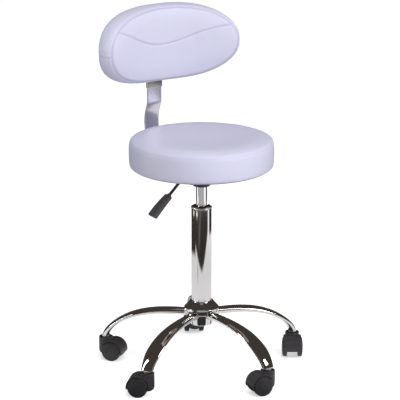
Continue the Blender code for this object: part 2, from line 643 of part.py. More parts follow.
def build_lever(parent):
    """Bent rod that rocks on a pin: raising its grip presses the valve button."""
    pin_reach = CHEEK_INNER_Y + CHEEK_THICK + 0.0010
    pin = disc("lever_pivot_pin", PIVOT_PIN_R, -pin_reach, pin_reach, "zinc_steel", parent, SMALL)
    along(pin, (0, 1, 0), (LEVER_PIVOT_X, 0, LEVER_Z))

    pivot = empty("lever_pivot", (LEVER_PIVOT_X, 0, LEVER_Z), 0, parent)
    fall = math.tan(LEVER_DROP)
    tip_x = LEVER_END_X + 0.012
    corners = [(LEVER_INNER_X - LEVER_PIVOT_X, 0, 0), (LEVER_BEND_X - LEVER_PIVOT_X, 0, 0),
               (tip_x - LEVER_PIVOT_X, 0, (tip_x - LEVER_BEND_X) * fall)]
    side = Vector((0, 1, 0))
    lever = rod("lever_rod", rounded_path(corners, [0.010]), side, LEVER_R, "black_steel", pivot)
    eye_half = CHEEK_INNER_Y - 0.0050
    eye = disc("lever_rod_eye", LEVER_EYE_R, -eye_half, eye_half, sides=20)
    fuse(lever, along(eye, (0, 1, 0), (0, 0, 0)))
    hole(lever, "lever_rod_eye_bore", PIVOT_PIN_R + RUN, (0, 1, 0), (0, -0.03, 0), 0.06, SMALL)

    start = Vector((LEVER_GRIP_X - LEVER_PIVOT_X, 0, (LEVER_GRIP_X - LEVER_BEND_X) * fall))
    end = Vector((LEVER_END_X - LEVER_PIVOT_X, 0, (LEVER_END_X - LEVER_BEND_X) * fall))
    shares = [0.0, 0.06, 0.25, 0.45, 0.65, 0.82, 0.94, 1.0]
    path, widths, depths = [], [], []
    for share in shares:
        path.append(start.lerp(end, share))
        rounding = 0.72 if share in (0.0, 1.0) else 1.0
        widths.append((GRIP_START_WIDTH + (GRIP_END_WIDTH - GRIP_START_WIDTH) * share) / 2 * rounding)
        depths.append(GRIP_THICK / 2 * (0.80 if share in (0.0, 1.0) else 1.0))
    grip = swept("lever_grip", path, side, widths, depths, "black_plastic", pivot, corner=0.0022)
    back_off = (end - start).normalized() * 0.004
    direction = (end - start).normalized()
    depth = (Vector(corners[2]) - start).length + GAP + 0.004
    hole(grip, "lever_grip_bore", LEVER_R + GAP, direction, start - back_off, depth, 12)


def build_seat(parent):
    """Foam cushion in its cover, with the plywood board let into its underside."""
    recess_z = SEAT_BOTTOM_Z + GAP + BOARD_THICK + GAP
    recess_r = BOARD_R + GAP
    profile = [(0, SEAT_CROWN_Z), (SEAT_SEAM_R * 0.55, SEAT_CROWN_Z - 0.0012),
               (SEAT_SEAM_R * 0.86, SEAT_CROWN_Z - 0.0040), (SEAT_SEAM_R, SEAT_SEAM_Z),
               (SEAT_R - 0.0008, SEAT_SEAM_Z - 0.0110), (SEAT_R, SEAT_SEAM_Z - 0.0300),
               (SEAT_R - 0.0005, SEAT_BOTTOM_Z + 0.0200), (SEAT_R - 0.0045, SEAT_BOTTOM_Z + 0.0060),
               (SEAT_R - 0.0120, SEAT_BOTTOM_Z), (recess_r, SEAT_BOTTOM_Z),
               (recess_r, recess_z), (0, recess_z)]
    turned("seat_cushion", profile, "vinyl", parent, FINE)
    board = disc("seat_board", BOARD_R, SEAT_BOTTOM_Z, SEAT_BOTTOM_Z + BOARD_THICK, "plywood", parent, FINE)
    corners, rear = bolt_places()
    for i, (x, y) in enumerate(corners + rear):
        hole(board, f"seat_board_bolt_hole_{i + 1}", BOLT_R + GAP, (0, 0, 1),
             (x, y, SEAT_BOTTOM_Z - 0.001), 0.001 + GAP + BOLT_DEPTH + GAP, SMALL)


# ---------------------------------------------------------------- back
def build_bar(parent):
    """Flat bar bolted under the seat, bowed round its back edge and cranked upright."""
    corners = [(0, BAR_START_Y, BAR_SEAT_Z), (0, BAR_KNEE_Y, BAR_SEAT_Z), (0, BAR_BOW_Y, BAR_BOW_Z),
               (0, BAR_TOP_Y, BAR_CRANK_Z), (0, BAR_TOP_Y, BAR_END_Z)]
    path = rounded_path(corners, [0.030, 0.080, 0.025], steps=7)
    bar = swept("backrest_bar", path, Vector((1, 0, 0)), BAR_WIDTH / 2, BAR_THICK / 2, "chrome", parent)
    for i, y in enumerate(BAR_BOLT_Y):
        hole(bar, f"backrest_bar_hole_{i + 1}", BOLT_R + GAP, (0, 0, 1),
             (0, y, BAR_SEAT_Z - 0.01), 0.02, SMALL)
        build_bolt(f"bar_bolt_{i + 1}", 0, y, BAR_SEAT_Z - BAR_THICK / 2 - GAP, parent)


def pad_ring(scale, depth, count=36):
    """One outline of the pad, scaled about its middle, at a depth forward of the rear face."""
    if scale <= 0:
        return [Vector((0, PAD_REAR_Y - depth, PAD_MID_Z))]
    share = depth / PAD_THICK
    bend = (1 - share) / PAD_REAR_WRAP_R + share / PAD_WRAP_R
    ring = []
    for i in range(count):
        angle = 2 * math.pi * i / count
        c, s = math.cos(angle), math.sin(angle)
        power = (PAD_TOP_POWER if s > 0 else PAD_BOTTOM_POWER) + (1 - share) * PAD_REAR_POWER
        height = PAD_RISE if s > 0 else PAD_DROP
        x = scale * PAD_HALF_WIDTH * math.copysign(abs(c) ** (2 / power), c)
        z = PAD_MID_Z + scale * height * math.copysign(abs(s) ** (2 / power), s)
        if s < 0:
            z += scale * PAD_LIFT * math.exp(-(x / PAD_LIFT_SPAN) ** 2)
        ring.append(Vector((x, PAD_REAR_Y - depth - bend * x * x / 2, z)))
    return ring


def build_back(parent):
    """Sleeve with its flange, clamp knob, back board and pad."""
    half = BAR_WIDTH / 2 + GAP
    slide_front = BAR_FRONT_Y - GAP
    top = SLEEVE_BOTTOM_Z + SLEEVE_HEIGHT
    sleeve = box("backrest_sleeve", (-half - SLEEVE_WALL, SLEEVE_FRONT_Y, SLEEVE_BOTTOM_Z),
                 (half + SLEEVE_WALL, SLEEVE_REAR_Y, top), "chrome", parent)
    flange = box("backrest_sleeve_flange", (-FLANGE_HALF_WIDTH, SLEEVE_FRONT_Y, FLANGE_BOTTOM_Z),
                 (FLANGE_HALF_WIDTH, SLEEVE_FRONT_Y + SLEEVE_WALL, FLANGE_BOTTOM_Z + FLANGE_HEIGHT))
    fuse(sleeve, flange)
    slot = box("backrest_sleeve_slot", (-half, slide_front, SLEEVE_BOTTOM_Z - 0.01),
               (half, BAR_REAR_Y + GAP, top + 0.01))
    cut(sleeve, slot)
    boss_end = SLEEVE_REAR_Y + 0.0050
    boss = disc("backrest_sleeve_boss", 0.0080, 0, 0.0050 + 0.0010, sides=20)
    fuse(sleeve, along(boss, (0, 1, 0), (0, SLEEVE_REAR_Y - 0.0010, KNOB_Z)))
    hole(sleeve, "backrest_sleeve_bore", KNOB_STUD_R + RUN, (0, 1, 0),
         (0, BAR_REAR_Y - 0.001, KNOB_Z), 0.03, SMALL)

    stud_start = BAR_REAR_Y + GAP
    knob_start = boss_end + GAP
    knob_end = knob_start + KNOB_LENGTH
    profile = [(0, stud_start), (KNOB_STUD_R, stud_start), (KNOB_STUD_R, knob_start),
               (KNOB_R * 0.55, knob_start), (KNOB_R * 0.60, knob_start + 0.0050),
               (KNOB_R - 0.0015, knob_start + 0.0070), (KNOB_R, knob_start + 0.0085),
               (KNOB_R, knob_end - 0.0020), (KNOB_R - 0.0025, knob_end), (0, knob_end)]
    along(turned("backrest_knob", profile, "black_plastic", parent), (0, 1, 0), (0, 0, KNOB_Z))

    board_depth = BACK_BOARD_THICK
    recess_scale = BACK_BOARD_SCALE + 0.004
    recess_depth = board_depth + BACK_BOARD_AIR
    half_scale = BACK_BOARD_SCALE * 0.5
    rings = [pad_ring(0, 0), pad_ring(half_scale, 0), pad_ring(BACK_BOARD_SCALE, 0),
             pad_ring(BACK_BOARD_SCALE, board_depth), pad_ring(half_scale, board_depth),
             pad_ring(0, board_depth)]
    loft("backrest_board", rings, "plywood", parent)
    rings = [pad_ring(0, recess_depth), pad_ring(half_scale, recess_depth),
             pad_ring(recess_scale, recess_depth), pad_ring(recess_scale, 0.0), pad_ring(0.965, 0.0005),
             pad_ring(0.992, 0.0050), pad_ring(1.0, 0.0130), pad_ring(1.0, 0.0300),
             pad_ring(0.985, 0.0410), pad_ring(0.955, 0.0500), pad_ring(0.905, 0.0565),
             pad_ring(0.780, PAD_THICK - 0.0007), pad_ring(0.400, PAD_THICK), pad_ring(0, PAD_THICK)]
    loft("backrest_pad", rings, "vinyl", parent)


# ---------------------------------------------------------------- the stool
def main():
    for old in list(bpy.data.objects):
        bpy.data.objects.remove(old, do_unlink=True)
    column = empty("column_axis", (COLUMN_X, COLUMN_Y, 0))
    build_base(column)
    for index in range(LEG_COUNT):
        build_castor(index, column)
    build_gas_lift(column)
    build_cylinder(column)
    build_plate(column)
    build_lever(column)
    build_seat(column)
    build_bar(column)
    build_back(column)


main()
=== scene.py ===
"""Pedicure stool: the finished surfaces of a star-base work stool with a padded seat and back.

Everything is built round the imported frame, in metres, +Z up, with the floor at z = 0.
The sitter faces -Y and the back pad stands at +Y.  Sizes that touch the frame are read from it.
"""
import json
import math

import bpy
import numpy as np
from bpy.props import FloatProperty, FloatVectorProperty, IntProperty, PointerProperty
from bpy.types import Operator, Panel, PropertyGroup
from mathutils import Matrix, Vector


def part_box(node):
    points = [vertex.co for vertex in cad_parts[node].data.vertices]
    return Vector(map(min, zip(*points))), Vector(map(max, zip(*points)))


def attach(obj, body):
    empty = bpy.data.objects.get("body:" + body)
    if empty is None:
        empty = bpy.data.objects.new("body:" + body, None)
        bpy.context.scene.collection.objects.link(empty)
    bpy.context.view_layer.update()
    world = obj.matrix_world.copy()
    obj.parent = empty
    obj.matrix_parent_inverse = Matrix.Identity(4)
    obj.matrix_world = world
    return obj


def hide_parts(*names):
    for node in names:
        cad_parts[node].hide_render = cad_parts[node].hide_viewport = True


bl_info = {
    "name": "Pedicure stool",
    "version": (1, 0, 0),
    "blender": (4, 5, 0),
    "location": "View3D > Sidebar > Stool",
    "description": "Builds the finished surfaces of a pedicure stool on its packed frame",
    "category": "Add Mesh",
}

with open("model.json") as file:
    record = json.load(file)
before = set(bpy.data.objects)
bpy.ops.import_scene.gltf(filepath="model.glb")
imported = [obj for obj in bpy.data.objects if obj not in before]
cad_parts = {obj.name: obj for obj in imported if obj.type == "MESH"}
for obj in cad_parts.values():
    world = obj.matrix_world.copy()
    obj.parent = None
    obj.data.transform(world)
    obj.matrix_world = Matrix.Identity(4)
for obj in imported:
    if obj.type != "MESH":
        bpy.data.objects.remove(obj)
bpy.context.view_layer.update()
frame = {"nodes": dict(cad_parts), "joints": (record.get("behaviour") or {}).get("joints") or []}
JOINTS = {joint["name"]: joint for joint in frame["joints"]}
LEG_COUNT = 5
COLUMN = np.array(JOINTS["spindle_turn"]["pos_m"]) * (1, 1, 0)


# ---------------------------------------------------------------- sizes and colours a user may change
def length(name, description, default):
    """A size in metres."""
    return FloatProperty(name=name, description=description, default=default, unit="LENGTH")


def tint(name, description, default):
    """A colour."""
    return FloatVectorProperty(name=name, description=description, default=default, subtype="COLOR", size=3,
                               min=0, max=1)


class StoolFinishes(PropertyGroup):
    """Colours of the stool's finishes."""

    vinyl: tint("Vinyl", "Cover of the seat and the back pad", (0.588, 0.596, 0.728))
    # painted shade: this colour is mixed into the vinyl in the grain's pits and along the seams, and a slow
    # random drift also mixes it in as real tone
    vinyl_painted_shade_and_tone: tint("Vinyl shade", "Slightly deeper tone in the grain and the folds", (0.470, 0.448, 0.620))
    chrome: tint("Chrome", "Bright plate of the base, the column and the bar", (0.87, 0.865, 0.87))
    plastic: tint("Black plastic", "Castors, lever grip, collar and knob", (0.024, 0.022, 0.025))
    steel: tint("Black steel", "Powder-coated seat plate and lever", (0.022, 0.021, 0.023))


class StoolBase(PropertyGroup):
    """Sizes of the base that the frame doesn't give."""

    leg_bend_width: length("Leg width", "Widest part of a leg, past its middle", 0.042)
    leg_bend_depth: length("Leg depth", "Depth of a leg where it is widest", 0.013)
    end_plate: length("End plate", "Thickness of the bright plate at a leg's tip", 0.0028)
    rim_roll: length("Rim roll", "Radius of the rolled rim at the column's mouth", 0.0019)
    hood_voxel: length("Hood detail", "Size of the cells that round a castor hood's edges", 0.0008)


class StoolSeat(PropertyGroup):
    """Shape of the seat cushion and its cover."""

    dish: length("Dish", "How far the middle of the seat lies below its shoulder", 0.0065)
    crease_drop: length("Crease drop", "Height of the shoulder above the seam round the seat", 0.0140)
    puff: length("Puff", "Furthest that the air in the foam may push the cover", 0.0022)
    voxel: length("Cloth cell", "Cell size of the cover while it is blown up", 0.0048)
    staples: IntProperty(name="Staples", description="Staples under the seat", default=44, min=0)


class StoolBack(PropertyGroup):
    """Shape of the back pad, its bar and its sleeve."""

    front_wrap: length("Front wrap", "Radius that the pad's front is bent round", 0.3115)
    rear_wrap: length("Rear wrap", "Radius that the pad's rear is bent round", 0.388)
    puff: length("Puff", "Furthest that the air in the foam may push the cover", 0.0026)
    wave_depth: length("Wave", "Height of the wavy seam's end above its lowest point", 0.042)


class StoolStage(PropertyGroup):
    """Camera and light."""

    heading: FloatProperty(
        name="Heading", description="Camera heading round the column, from straight ahead",
        default=math.radians(32.0), subtype="ANGLE")
    tilt: FloatProperty(
        name="Tilt", description="How far the camera looks down", default=math.radians(15.7523),
        subtype="ANGLE")
    distance: length("Distance", "Camera to column, measured flat", 5.3704)
    height: length("Height", "Camera above the floor", 1.9486)
    lens: FloatProperty(
        name="Lens", description="Focal length in millimetres on a 36 mm sensor", default=203.2)
    side_shift: FloatProperty(
        name="Shift", description="Sideways shift of the lens, as a share of the sensor", default=-0.00374)
    floor: tint("Floor", "Pale studio floor", (0.93, 0.93, 0.935))


def finishes():
    return bpy.context.scene.stool_finishes


# ---------------------------------------------------------------- curves and surfaces as whole arrays
def unit(vectors):
    """Vectors scaled to length 1 along their last axis."""
    return vectors / np.maximum(np.linalg.norm(vectors, axis=-1, keepdims=True), 1e-12)


def fillet(points, radius, steps=5, closed=False):
    """A corner list rounded by arcs.  A corner P whose sides meet at angle q is cut back by radius / tan(q/2)
    to A and B, and becomes ((1-s)^2 A + 2w s(1-s) P + s^2 B) / ((1-s)^2 + 2w s(1-s) + s^2), w = sin(q/2)."""
    points = np.asarray(points, float)
    radius = np.broadcast_to(np.asarray(radius, float), len(points))[:, None]
    before, after = np.roll(points, 1, 0) - points, np.roll(points, -1, 0) - points
    long_before = np.linalg.norm(before, axis=1, keepdims=True)
    long_after = np.linalg.norm(after, axis=1, keepdims=True)
    cosine = np.clip((unit(before) * unit(after)).sum(1, keepdims=True), -0.9999, 0.9999)
    half = np.arccos(cosine) / 2
    cut = np.minimum(radius / np.tan(half), 0.48 * np.minimum(long_before, long_after))
    a, b = (points + unit(before) * cut)[:, None], (points + unit(after) * cut)[:, None]
    s = np.linspace(0, 1, steps)[None, :, None]
    w = np.sin(half)[:, None]
    bottom = (1 - s) ** 2 + 2 * w * s * (1 - s) + s ** 2
    curves = ((1 - s) ** 2 * a + 2 * w * s * (1 - s) * points[:, None] + s ** 2 * b) / bottom
    if closed:
        return curves.reshape(-1, points.shape[1])
    return np.vstack([points[:1], curves[1:-1].reshape(-1, points.shape[1]), points[-1:]])


def evenly(points, count):
    """The same line with count points, evenly spaced along its length."""
    lengths = np.concatenate([[0], np.cumsum(np.linalg.norm(np.diff(points, axis=0), axis=1))])
    wanted = np.linspace(0, lengths[-1], count)
    return np.stack([np.interp(wanted, lengths, points[:, k]) for k in range(points.shape[1])], 1)


def volume(verts, faces):
    """Signed volume inside a closed surface: a third of the sum of area vectors dotted with places."""
    total = 0.0
    for face in faces:
        p = verts[face]
        for k in range(1, face.shape[1] - 1):
            total += np.einsum("ij,ij->", p[:, 0], np.cross(p[:, k], p[:, k + 1]))
    return total / 6


def skin(rings, loop=False, start=None, end=None):
    """A closed surface through rings of equal counts, as (places, face arrays).  loop joins the last ring
    to the first; otherwise each end is closed by a fan to the point given, or to the ring's middle."""
    rings = np.asarray(rings, float)
    n, m = rings.shape[:2]
    verts = rings.reshape(-1, 3)
    index = np.arange(n * m).reshape(n, m)
    rows = np.vstack([index, index[:1]]) if loop else index
    here, there = rows[:-1], rows[1:]
    quads = np.stack([here, np.roll(here, -1, 1), np.roll(there, -1, 1), there], -1).reshape(-1, 4)
    faces = [quads]
    if not loop:
        start = rings[0].mean(0) if start is None else start
        end = rings[-1].mean(0) if end is None else end
        verts = np.vstack([verts, start, end])
        low, high = np.full(m, n * m), np.full(m, n * m + 1)
        first, last = index[0], index[-1]
        faces.append(np.stack([low, np.roll(first, -1), first], -1))
        faces.append(np.stack([high, last, np.roll(last, -1)], -1))
    if volume(verts, faces) < 0:
        faces = [face[:, ::-1] for face in faces]
    return verts, faces


def steady(profile, inset=0.003):
    """An open profile with a point added near both ends of each long side, so that the side shades evenly."""
    profile = np.asarray(profile, float)
    sides = np.diff(profile, axis=0)
    long = np.linalg.norm(sides, axis=1) > 5 * inset
    lead = unit(sides[long]) * inset
    extra = np.stack([profile[:-1][long] + lead, profile[1:][long] - lead], 1).reshape(-1, profile.shape[1])
    return np.insert(profile, np.repeat(np.flatnonzero(long) + 1, 2), extra, axis=0)


def turn(profile, sides=96, axis=(0, 0), loop=False):
    """A profile of (radius, height) carried round an upright axis: x = r cos t, y = r sin t, z = height.
    An open profile starts and ends on the axis."""
    profile = np.asarray(profile, float)
    t = np.linspace(0, 2 * np.pi, sides, endpoint=False)
    rings = np.stack([profile[:, :1] * np.cos(t) + axis[0], profile[:, :1] * np.sin(t) + axis[1],
                      np.repeat(profile[:, 1:2], sides, 1)], -1)
    if loop:
        return skin(rings, loop=True)
    return skin(rings[1:-1], start=rings[0, 0], end=rings[-1, 0])


def sweep(path, side, outline, widths=1.0, depths=1.0):
    """An outline of (across, up) carried along a path in the plane square to side: each point is
    path + across * width * side + up * depth * (tangent x side)."""
    path = np.asarray(path, float)
    side = unit(np.asarray(side, float))
    tangent = unit(np.gradient(path, axis=0))
    upward = unit(np.cross(tangent, side))
    widths = np.broadcast_to(widths, len(path))[:, None, None]
    depths = np.broadcast_to(depths, len(path))[:, None, None]
    across, up = outline[None, :, :1], outline[None, :, 1:2]
    return skin(path[:, None] + across * widths * side + up * depths * upward[:, None])


def round_box(width, depth, radius, steps=6):
    """Closed outline of a box with rounded corners."""
    corners = np.array([(-1, -1), (1, -1), (1, 1), (-1, 1)]) * (width / 2, depth / 2)
    return fillet(corners, radius, steps, closed=True)


def signed_power(values, power):
    """|v|^power with the sign of v."""
    return np.sign(values) * np.abs(values) ** power


def circle(radius, sides=24):
    """Closed round outline."""
    t = np.linspace(0, 2 * np.pi, sides, endpoint=False)
    return np.stack([np.cos(t), np.sin(t)], 1) * radius


def circle_at(radius, turns, height, centre=(0, 0)):
    """Points round an upright axis: x = r cos t, y = r sin t, with one radius and height or one for each."""
    x, y = centre[0] + radius * np.cos(turns), centre[1] + radius * np.sin(turns)
    return np.stack([x, y, height + 0 * turns], 1)


def placed(shell, origin, x_axis, y_axis):
    """A shell moved from its own axes to origin, with its x and y along the axes given."""
    verts, faces = shell
    x_axis, y_axis = unit(np.asarray(x_axis, float)), unit(np.asarray(y_axis, float))
    turned_axes = np.stack([x_axis, y_axis, np.cross(x_axis, y_axis)])
    return verts @ turned_axes + np.asarray(origin, float), faces


def many(shell, origins, x_axes, y_axes):
    """One small shell repeated: every copy is its points times the copy's axes, plus its origin."""
    verts, faces = shell
    origins, x_axes, y_axes = (np.asarray(a, float).reshape(-1, 3) for a in (origins, x_axes, y_axes))
    x_axes = unit(x_axes)
    z_axes = unit(np.cross(x_axes, y_axes))
    frames = np.stack([x_axes, np.cross(z_axes, x_axes), z_axes], 1)
    places = np.einsum("pk,nkj->npj", verts, frames) + origins[:, None]
    shift = (np.arange(len(origins)) * len(verts))[:, None, None]
    return places.reshape(-1, 3), [(face[None] + shift).reshape(-1, face.shape[1]) for face in faces]


def make_mesh(name, shells):
    """One mesh from shells of (places, face arrays) seen from the foot of the column's axis, shaded smooth
    where faces meet at less than 35 degrees."""
    verts, faces, start = [], [], 0
    for places, groups in shells:
        verts.append(places)
        faces += [face for group in groups for face in (group + start).tolist()]
        start += len(places)
    mesh = bpy.data.meshes.new(name)
    mesh.from_pydata(np.vstack(verts) + COLUMN, [], faces)
    mesh.validate()
    mesh.shade_smooth()
    mesh.set_sharp_from_angle(angle=math.radians(35))
    return mesh


def add_piece(name, shells, finish, body, stands_for=()):
    """Put shells in the scene as one piece that rides on a body, with its finish, hiding the frame nodes it
    stands for.
    """
    mesh = make_mesh(name, shells)
    piece = bpy.data.objects.new(name, mesh)
    bpy.context.scene.collection.objects.link(piece)
    mesh.materials.append(finish)
    if stands_for:
        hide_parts(*stands_for)
    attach(piece, body)
    return piece


def evaluated_mesh(piece):
    """A plain mesh of a piece with its modifiers worked in."""
    graph = bpy.context.evaluated_depsgraph_get()
    return bpy.data.meshes.new_from_object(piece.evaluated_get(graph))


def bake_modifiers(piece):
    """Work the modifiers into the piece's mesh, keeping its materials."""
    mesh = evaluated_mesh(piece)
    piece.modifiers.clear()
    piece.data = mesh


def places_of(mesh):
    co = np.empty(len(mesh.vertices) * 3, np.float32)
    mesh.vertices.foreach_get("co", co)
    return co.reshape(-1, 3).astype(float)


def normals_of(mesh):
    no = np.empty(len(mesh.vertices) * 3, np.float32)
    mesh.vertex_normals.foreach_get("vector", no)
    return no.reshape(-1, 3).astype(float)


def set_places(mesh, places):
    mesh.vertices.foreach_set("co", places.astype(np.float32).ravel())
    mesh.update()


# ---------------------------------------------------------------- shader groups
def new_group(name, inputs, outputs):
    """A node group with float inputs and named outputs; returns it with its in and out nodes."""
    group = bpy.data.node_groups.new(name, "ShaderNodeTree")
    for label, default in inputs:
        socket = group.interface.new_socket(label, in_out="INPUT", socket_type="NodeSocketFloat")
        socket.default_value = default
    for label in outputs:
        group.interface.new_socket(label, in_out="OUTPUT", socket_type="NodeSocketFloat")
    return group, group.nodes.new("NodeGroupInput"), group.nodes.new("NodeGroupOutput")


def math_node(tree, operation, a, b):
    """A math node; a and b are sockets or numbers."""
    node = tree.nodes.new("ShaderNodeMath")
    node.operation = operation
    for socket, value in zip(node.inputs, (a, b)):
        if isinstance(value, (int, float)):
            socket.default_value = value
        else:
            tree.links.new(value, socket)
    return node.outputs[0]


def weighed(tree, a, a_share, b, b_share):
    """a * a_share + b * b_share."""
    first, second = math_node(tree, "MULTIPLY", a, a_share), math_node(tree, "MULTIPLY", b, b_share)
    return math_node(tree, "ADD", first, second)


def noise_node(tree, place, scale, detail, roughness=0.5):
    """A noise texture read at a place; scale is a socket or a number."""
    node = tree.nodes.new("ShaderNodeTexNoise")
    tree.links.new(place, node.inputs["Vector"])
    if isinstance(scale, (int, float)):
        node.inputs["Scale"].default_value = scale
    else:
        tree.links.new(scale, node.inputs["Scale"])
    node.inputs["Detail"].default_value = detail
    node.inputs["Roughness"].default_value = roughness
    return node.outputs["Fac"]


def handling_group():
    """Roughness that drifts with wiping and handling: low + (high - low) * two soft noises."""
    tree, into, out = new_group("Handling", [("Scale", 20), ("Low", 0.05), ("High", 0.1)], ["Roughness"])
    place = tree.nodes.new("ShaderNodeTexCoord").outputs["Object"]
    broad = noise_node(tree, place, into.outputs["Scale"], 3)
    fine = noise_node(tree, place, math_node(tree, "MULTIPLY", into.outputs["Scale"], 9.0), 2)
    mixed = weighed(tree, broad, 0.7, fine, 0.3)
    span = math_node(tree, "SUBTRACT", into.outputs["High"], into.outputs["Low"])
    result = math_node(tree, "ADD", into.outputs["Low"], math_node(tree, "MULTIPLY", mixed, span))
    tree.links.new(result, out.inputs["Roughness"])
    return tree


def grain_group():
    """Vinyl grain: cells whose edges are pressed in, broken up by noise, with a mask of the pits."""
    tree, into, out = new_group("Vinyl grain", [("Scale", 700)], ["Height", "Pits", "Drift"])
    place = tree.nodes.new("ShaderNodeTexCoord").outputs["Object"]
    cells = tree.nodes.new("ShaderNodeTexVoronoi")
    cells.feature = "DISTANCE_TO_EDGE"
    tree.links.new(place, cells.inputs["Vector"])
    tree.links.new(into.outputs["Scale"], cells.inputs["Scale"])
    ridge = math_node(tree, "MINIMUM", math_node(tree, "MULTIPLY", cells.outputs["Distance"], 3.0), 1.0)
    broken = noise_node(tree, place, math_node(tree, "MULTIPLY", into.outputs["Scale"], 0.35), 3)
    height = weighed(tree, ridge, 0.6, broken, 0.6)
    tree.links.new(height, out.inputs["Height"])
    tree.links.new(math_node(tree, "SUBTRACT", 1.0, ridge), out.inputs["Pits"])
    tree.links.new(noise_node(tree, place, 5.0, 2), out.inputs["Drift"])
    return tree


def moulded_group():
    """Fine moulded or sprayed texture: a tight noise with a little coarse relief."""
    tree, into, out = new_group("Moulded texture", [("Scale", 1500)], ["Height", "Mask"])
    place = tree.nodes.new("ShaderNodeTexCoord").outputs["Object"]
    fine = noise_node(tree, place, into.outputs["Scale"], 2)
    coarse = noise_node(tree, place, math_node(tree, "MULTIPLY", into.outputs["Scale"], 0.1), 3)
    height = weighed(tree, fine, 0.8, coarse, 0.2)
    tree.links.new(height, out.inputs["Height"])
    tree.links.new(coarse, out.inputs["Mask"])
    return tree


def shared_group(name, maker):
    """The node group of that name, built the first time it is asked for."""
    return bpy.data.node_groups.get(name) or maker()


class Finish:
    """A material with one Principled shader, and short ways to feed it from the shared groups."""

    def __init__(self, name, metallic=0.0, roughness=0.5, **constants):
        self.material = bpy.data.materials.new(name)
        self.material.use_nodes = True
        self.tree = self.material.node_tree
        self.shader = self.tree.nodes["Principled BSDF"]
        self.shader.inputs["Metallic"].default_value = metallic
        self.shader.inputs["Roughness"].default_value = roughness
        for label, value in constants.items():
            self.shader.inputs[label.replace("_", " ")].default_value = value

    def group(self, tree, **values):
        node = self.tree.nodes.new("ShaderNodeGroup")
        node.node_tree = tree
        for label, value in values.items():
            node.inputs[label].default_value = value
        return node

    def roughness(self, scale, low, high):
        node = self.group(shared_group("Handling", handling_group), Scale=scale, Low=low, High=high)
        self.tree.links.new(node.outputs["Roughness"], self.shader.inputs["Roughness"])

    def bump(self, height, depth, strength=1.0):
        node = self.tree.nodes.new("ShaderNodeBump")
        node.inputs["Distance"].default_value = depth
        node.inputs["Strength"].default_value = strength
        self.tree.links.new(height, node.inputs["Height"])
        self.tree.links.new(node.outputs["Normal"], self.shader.inputs["Normal"])

    def colour(self, one, other=None, factor=None):
        """One base colour, or a mix of two by a factor socket."""
        if other is None:
            self.shader.inputs["Base Color"].default_value = (*one, 1)
            return
        mix = self.tree.nodes.new("ShaderNodeMix")
        mix.data_type = "RGBA"
        mix.inputs["A"].default_value = (*one, 1)
        mix.inputs["B"].default_value = (*other, 1)
        self.tree.links.new(factor, mix.inputs["Factor"])
        self.tree.links.new(mix.outputs["Result"], self.shader.inputs["Base Color"])


# ---------------------------------------------------------------- finishes
def kept(name, maker):
    """The material of that name, made the first time it is asked for."""
    return bpy.data.materials.get(name) or maker(name).material


def textured(name, wear, one, other, scale, metallic=0.0, relief=0.0):
    """A finish with worn roughness (scale, low, high) and two tones mixed by a moulded texture, which also
    gives its relief in metres."""
    def make(label):
        finish = Finish(label, metallic=metallic)
        finish.roughness(*wear)
        grain = finish.group(shared_group("Moulded texture", moulded_group), Scale=scale)
        finish.colour(one, other, grain.outputs["Mask"])
        if relief:
            finish.bump(grain.outputs["Height"], relief)
        return finish
    return kept(name, make)


def scaled(colour, factor):
    return tuple(factor * c for c in colour)


def chrome():
    plate = tuple(finishes().chrome)
    return textured("Bright chrome", (35, 0.025, 0.085), plate, scaled(plate, 0.94), 260, 1.0)


def ground_chrome():
    return textured("Ground chrome rod", (24, 0.035, 0.06), (0.93, 0.93, 0.95), (0.88, 0.88, 0.90), 400, 1.0)


def bar_chrome():
    # painted reflection: the bar's chrome is tinted lilac, standing for the lilac seat it mirrors
    return textured("Soft chrome bar", (50, 0.15, 0.24), (0.80, 0.79, 0.87), (0.74, 0.73, 0.81), 300, 1.0)


def zinc():
    return textured("Zinc-plated steel", (80, 0.22, 0.42), (0.66, 0.66, 0.68), (0.52, 0.52, 0.53), 900, 1.0,
                    relief=0.00004)


def black_steel():
    return textured("Black powder coat", (50, 0.34, 0.50), tuple(finishes().steel), (0.040, 0.038, 0.041), 1100,
                    relief=0.00010)


def black_plastic(name="Black moulded plastic", lift=1.0):
    """Moulded black plastic; lift scales its colour, so a lift above 1 paints light into it and a lift below 1
    paints shade into it.
    """
    plastic = scaled(finishes().plastic, lift)
    return textured(name, (45, 0.36, 0.54), plastic, scaled(plastic, 1.6), 1600, relief=0.00009)


def rubber(name="Black rubber"):
    def make(label):
        finish = Finish(label)
        finish.roughness(40, 0.70, 0.88)
        finish.colour((0.018, 0.018, 0.018))
        return finish
    return kept(name, make)


def vinyl(name="Lilac vinyl"):
    def make(label):
        finish = Finish(label, Sheen_Weight=0.12, Sheen_Roughness=0.4, Specular_IOR_Level=0.42)
        finish.roughness(14, 0.36, 0.50)
        grain = finish.group(shared_group("Vinyl grain", grain_group), Scale=620)
        # painted shade: the base colour turns towards the shade colour in the grain's pits and along the seams,
        # while the drift adds real random tone
        seam = finish.tree.nodes.new("ShaderNodeAttribute")
        seam.attribute_name = "seam"
        surface = weighed(finish.tree, grain.outputs["Pits"], 0.30, grain.outputs["Drift"], 0.25)
        factor = weighed(finish.tree, surface, 1.0, seam.outputs["Fac"], 0.9)
        finish.colour(tuple(finishes().vinyl), tuple(finishes().vinyl_painted_shade_and_tone), factor)
        finish.bump(grain.outputs["Height"], 0.00014)
        return finish
    return kept(name, make)


def thread(name="Lilac thread"):
    def make(label):
        finish = Finish(label, roughness=0.75, Sheen_Weight=0.3)
        grain = finish.group(shared_group("Moulded texture", moulded_group), Scale=2500)
        finish.colour((0.60, 0.60, 0.76), (0.46, 0.45, 0.62), grain.outputs["Height"])
        finish.bump(grain.outputs["Height"], 0.00008)
        return finish
    return kept(name, make)


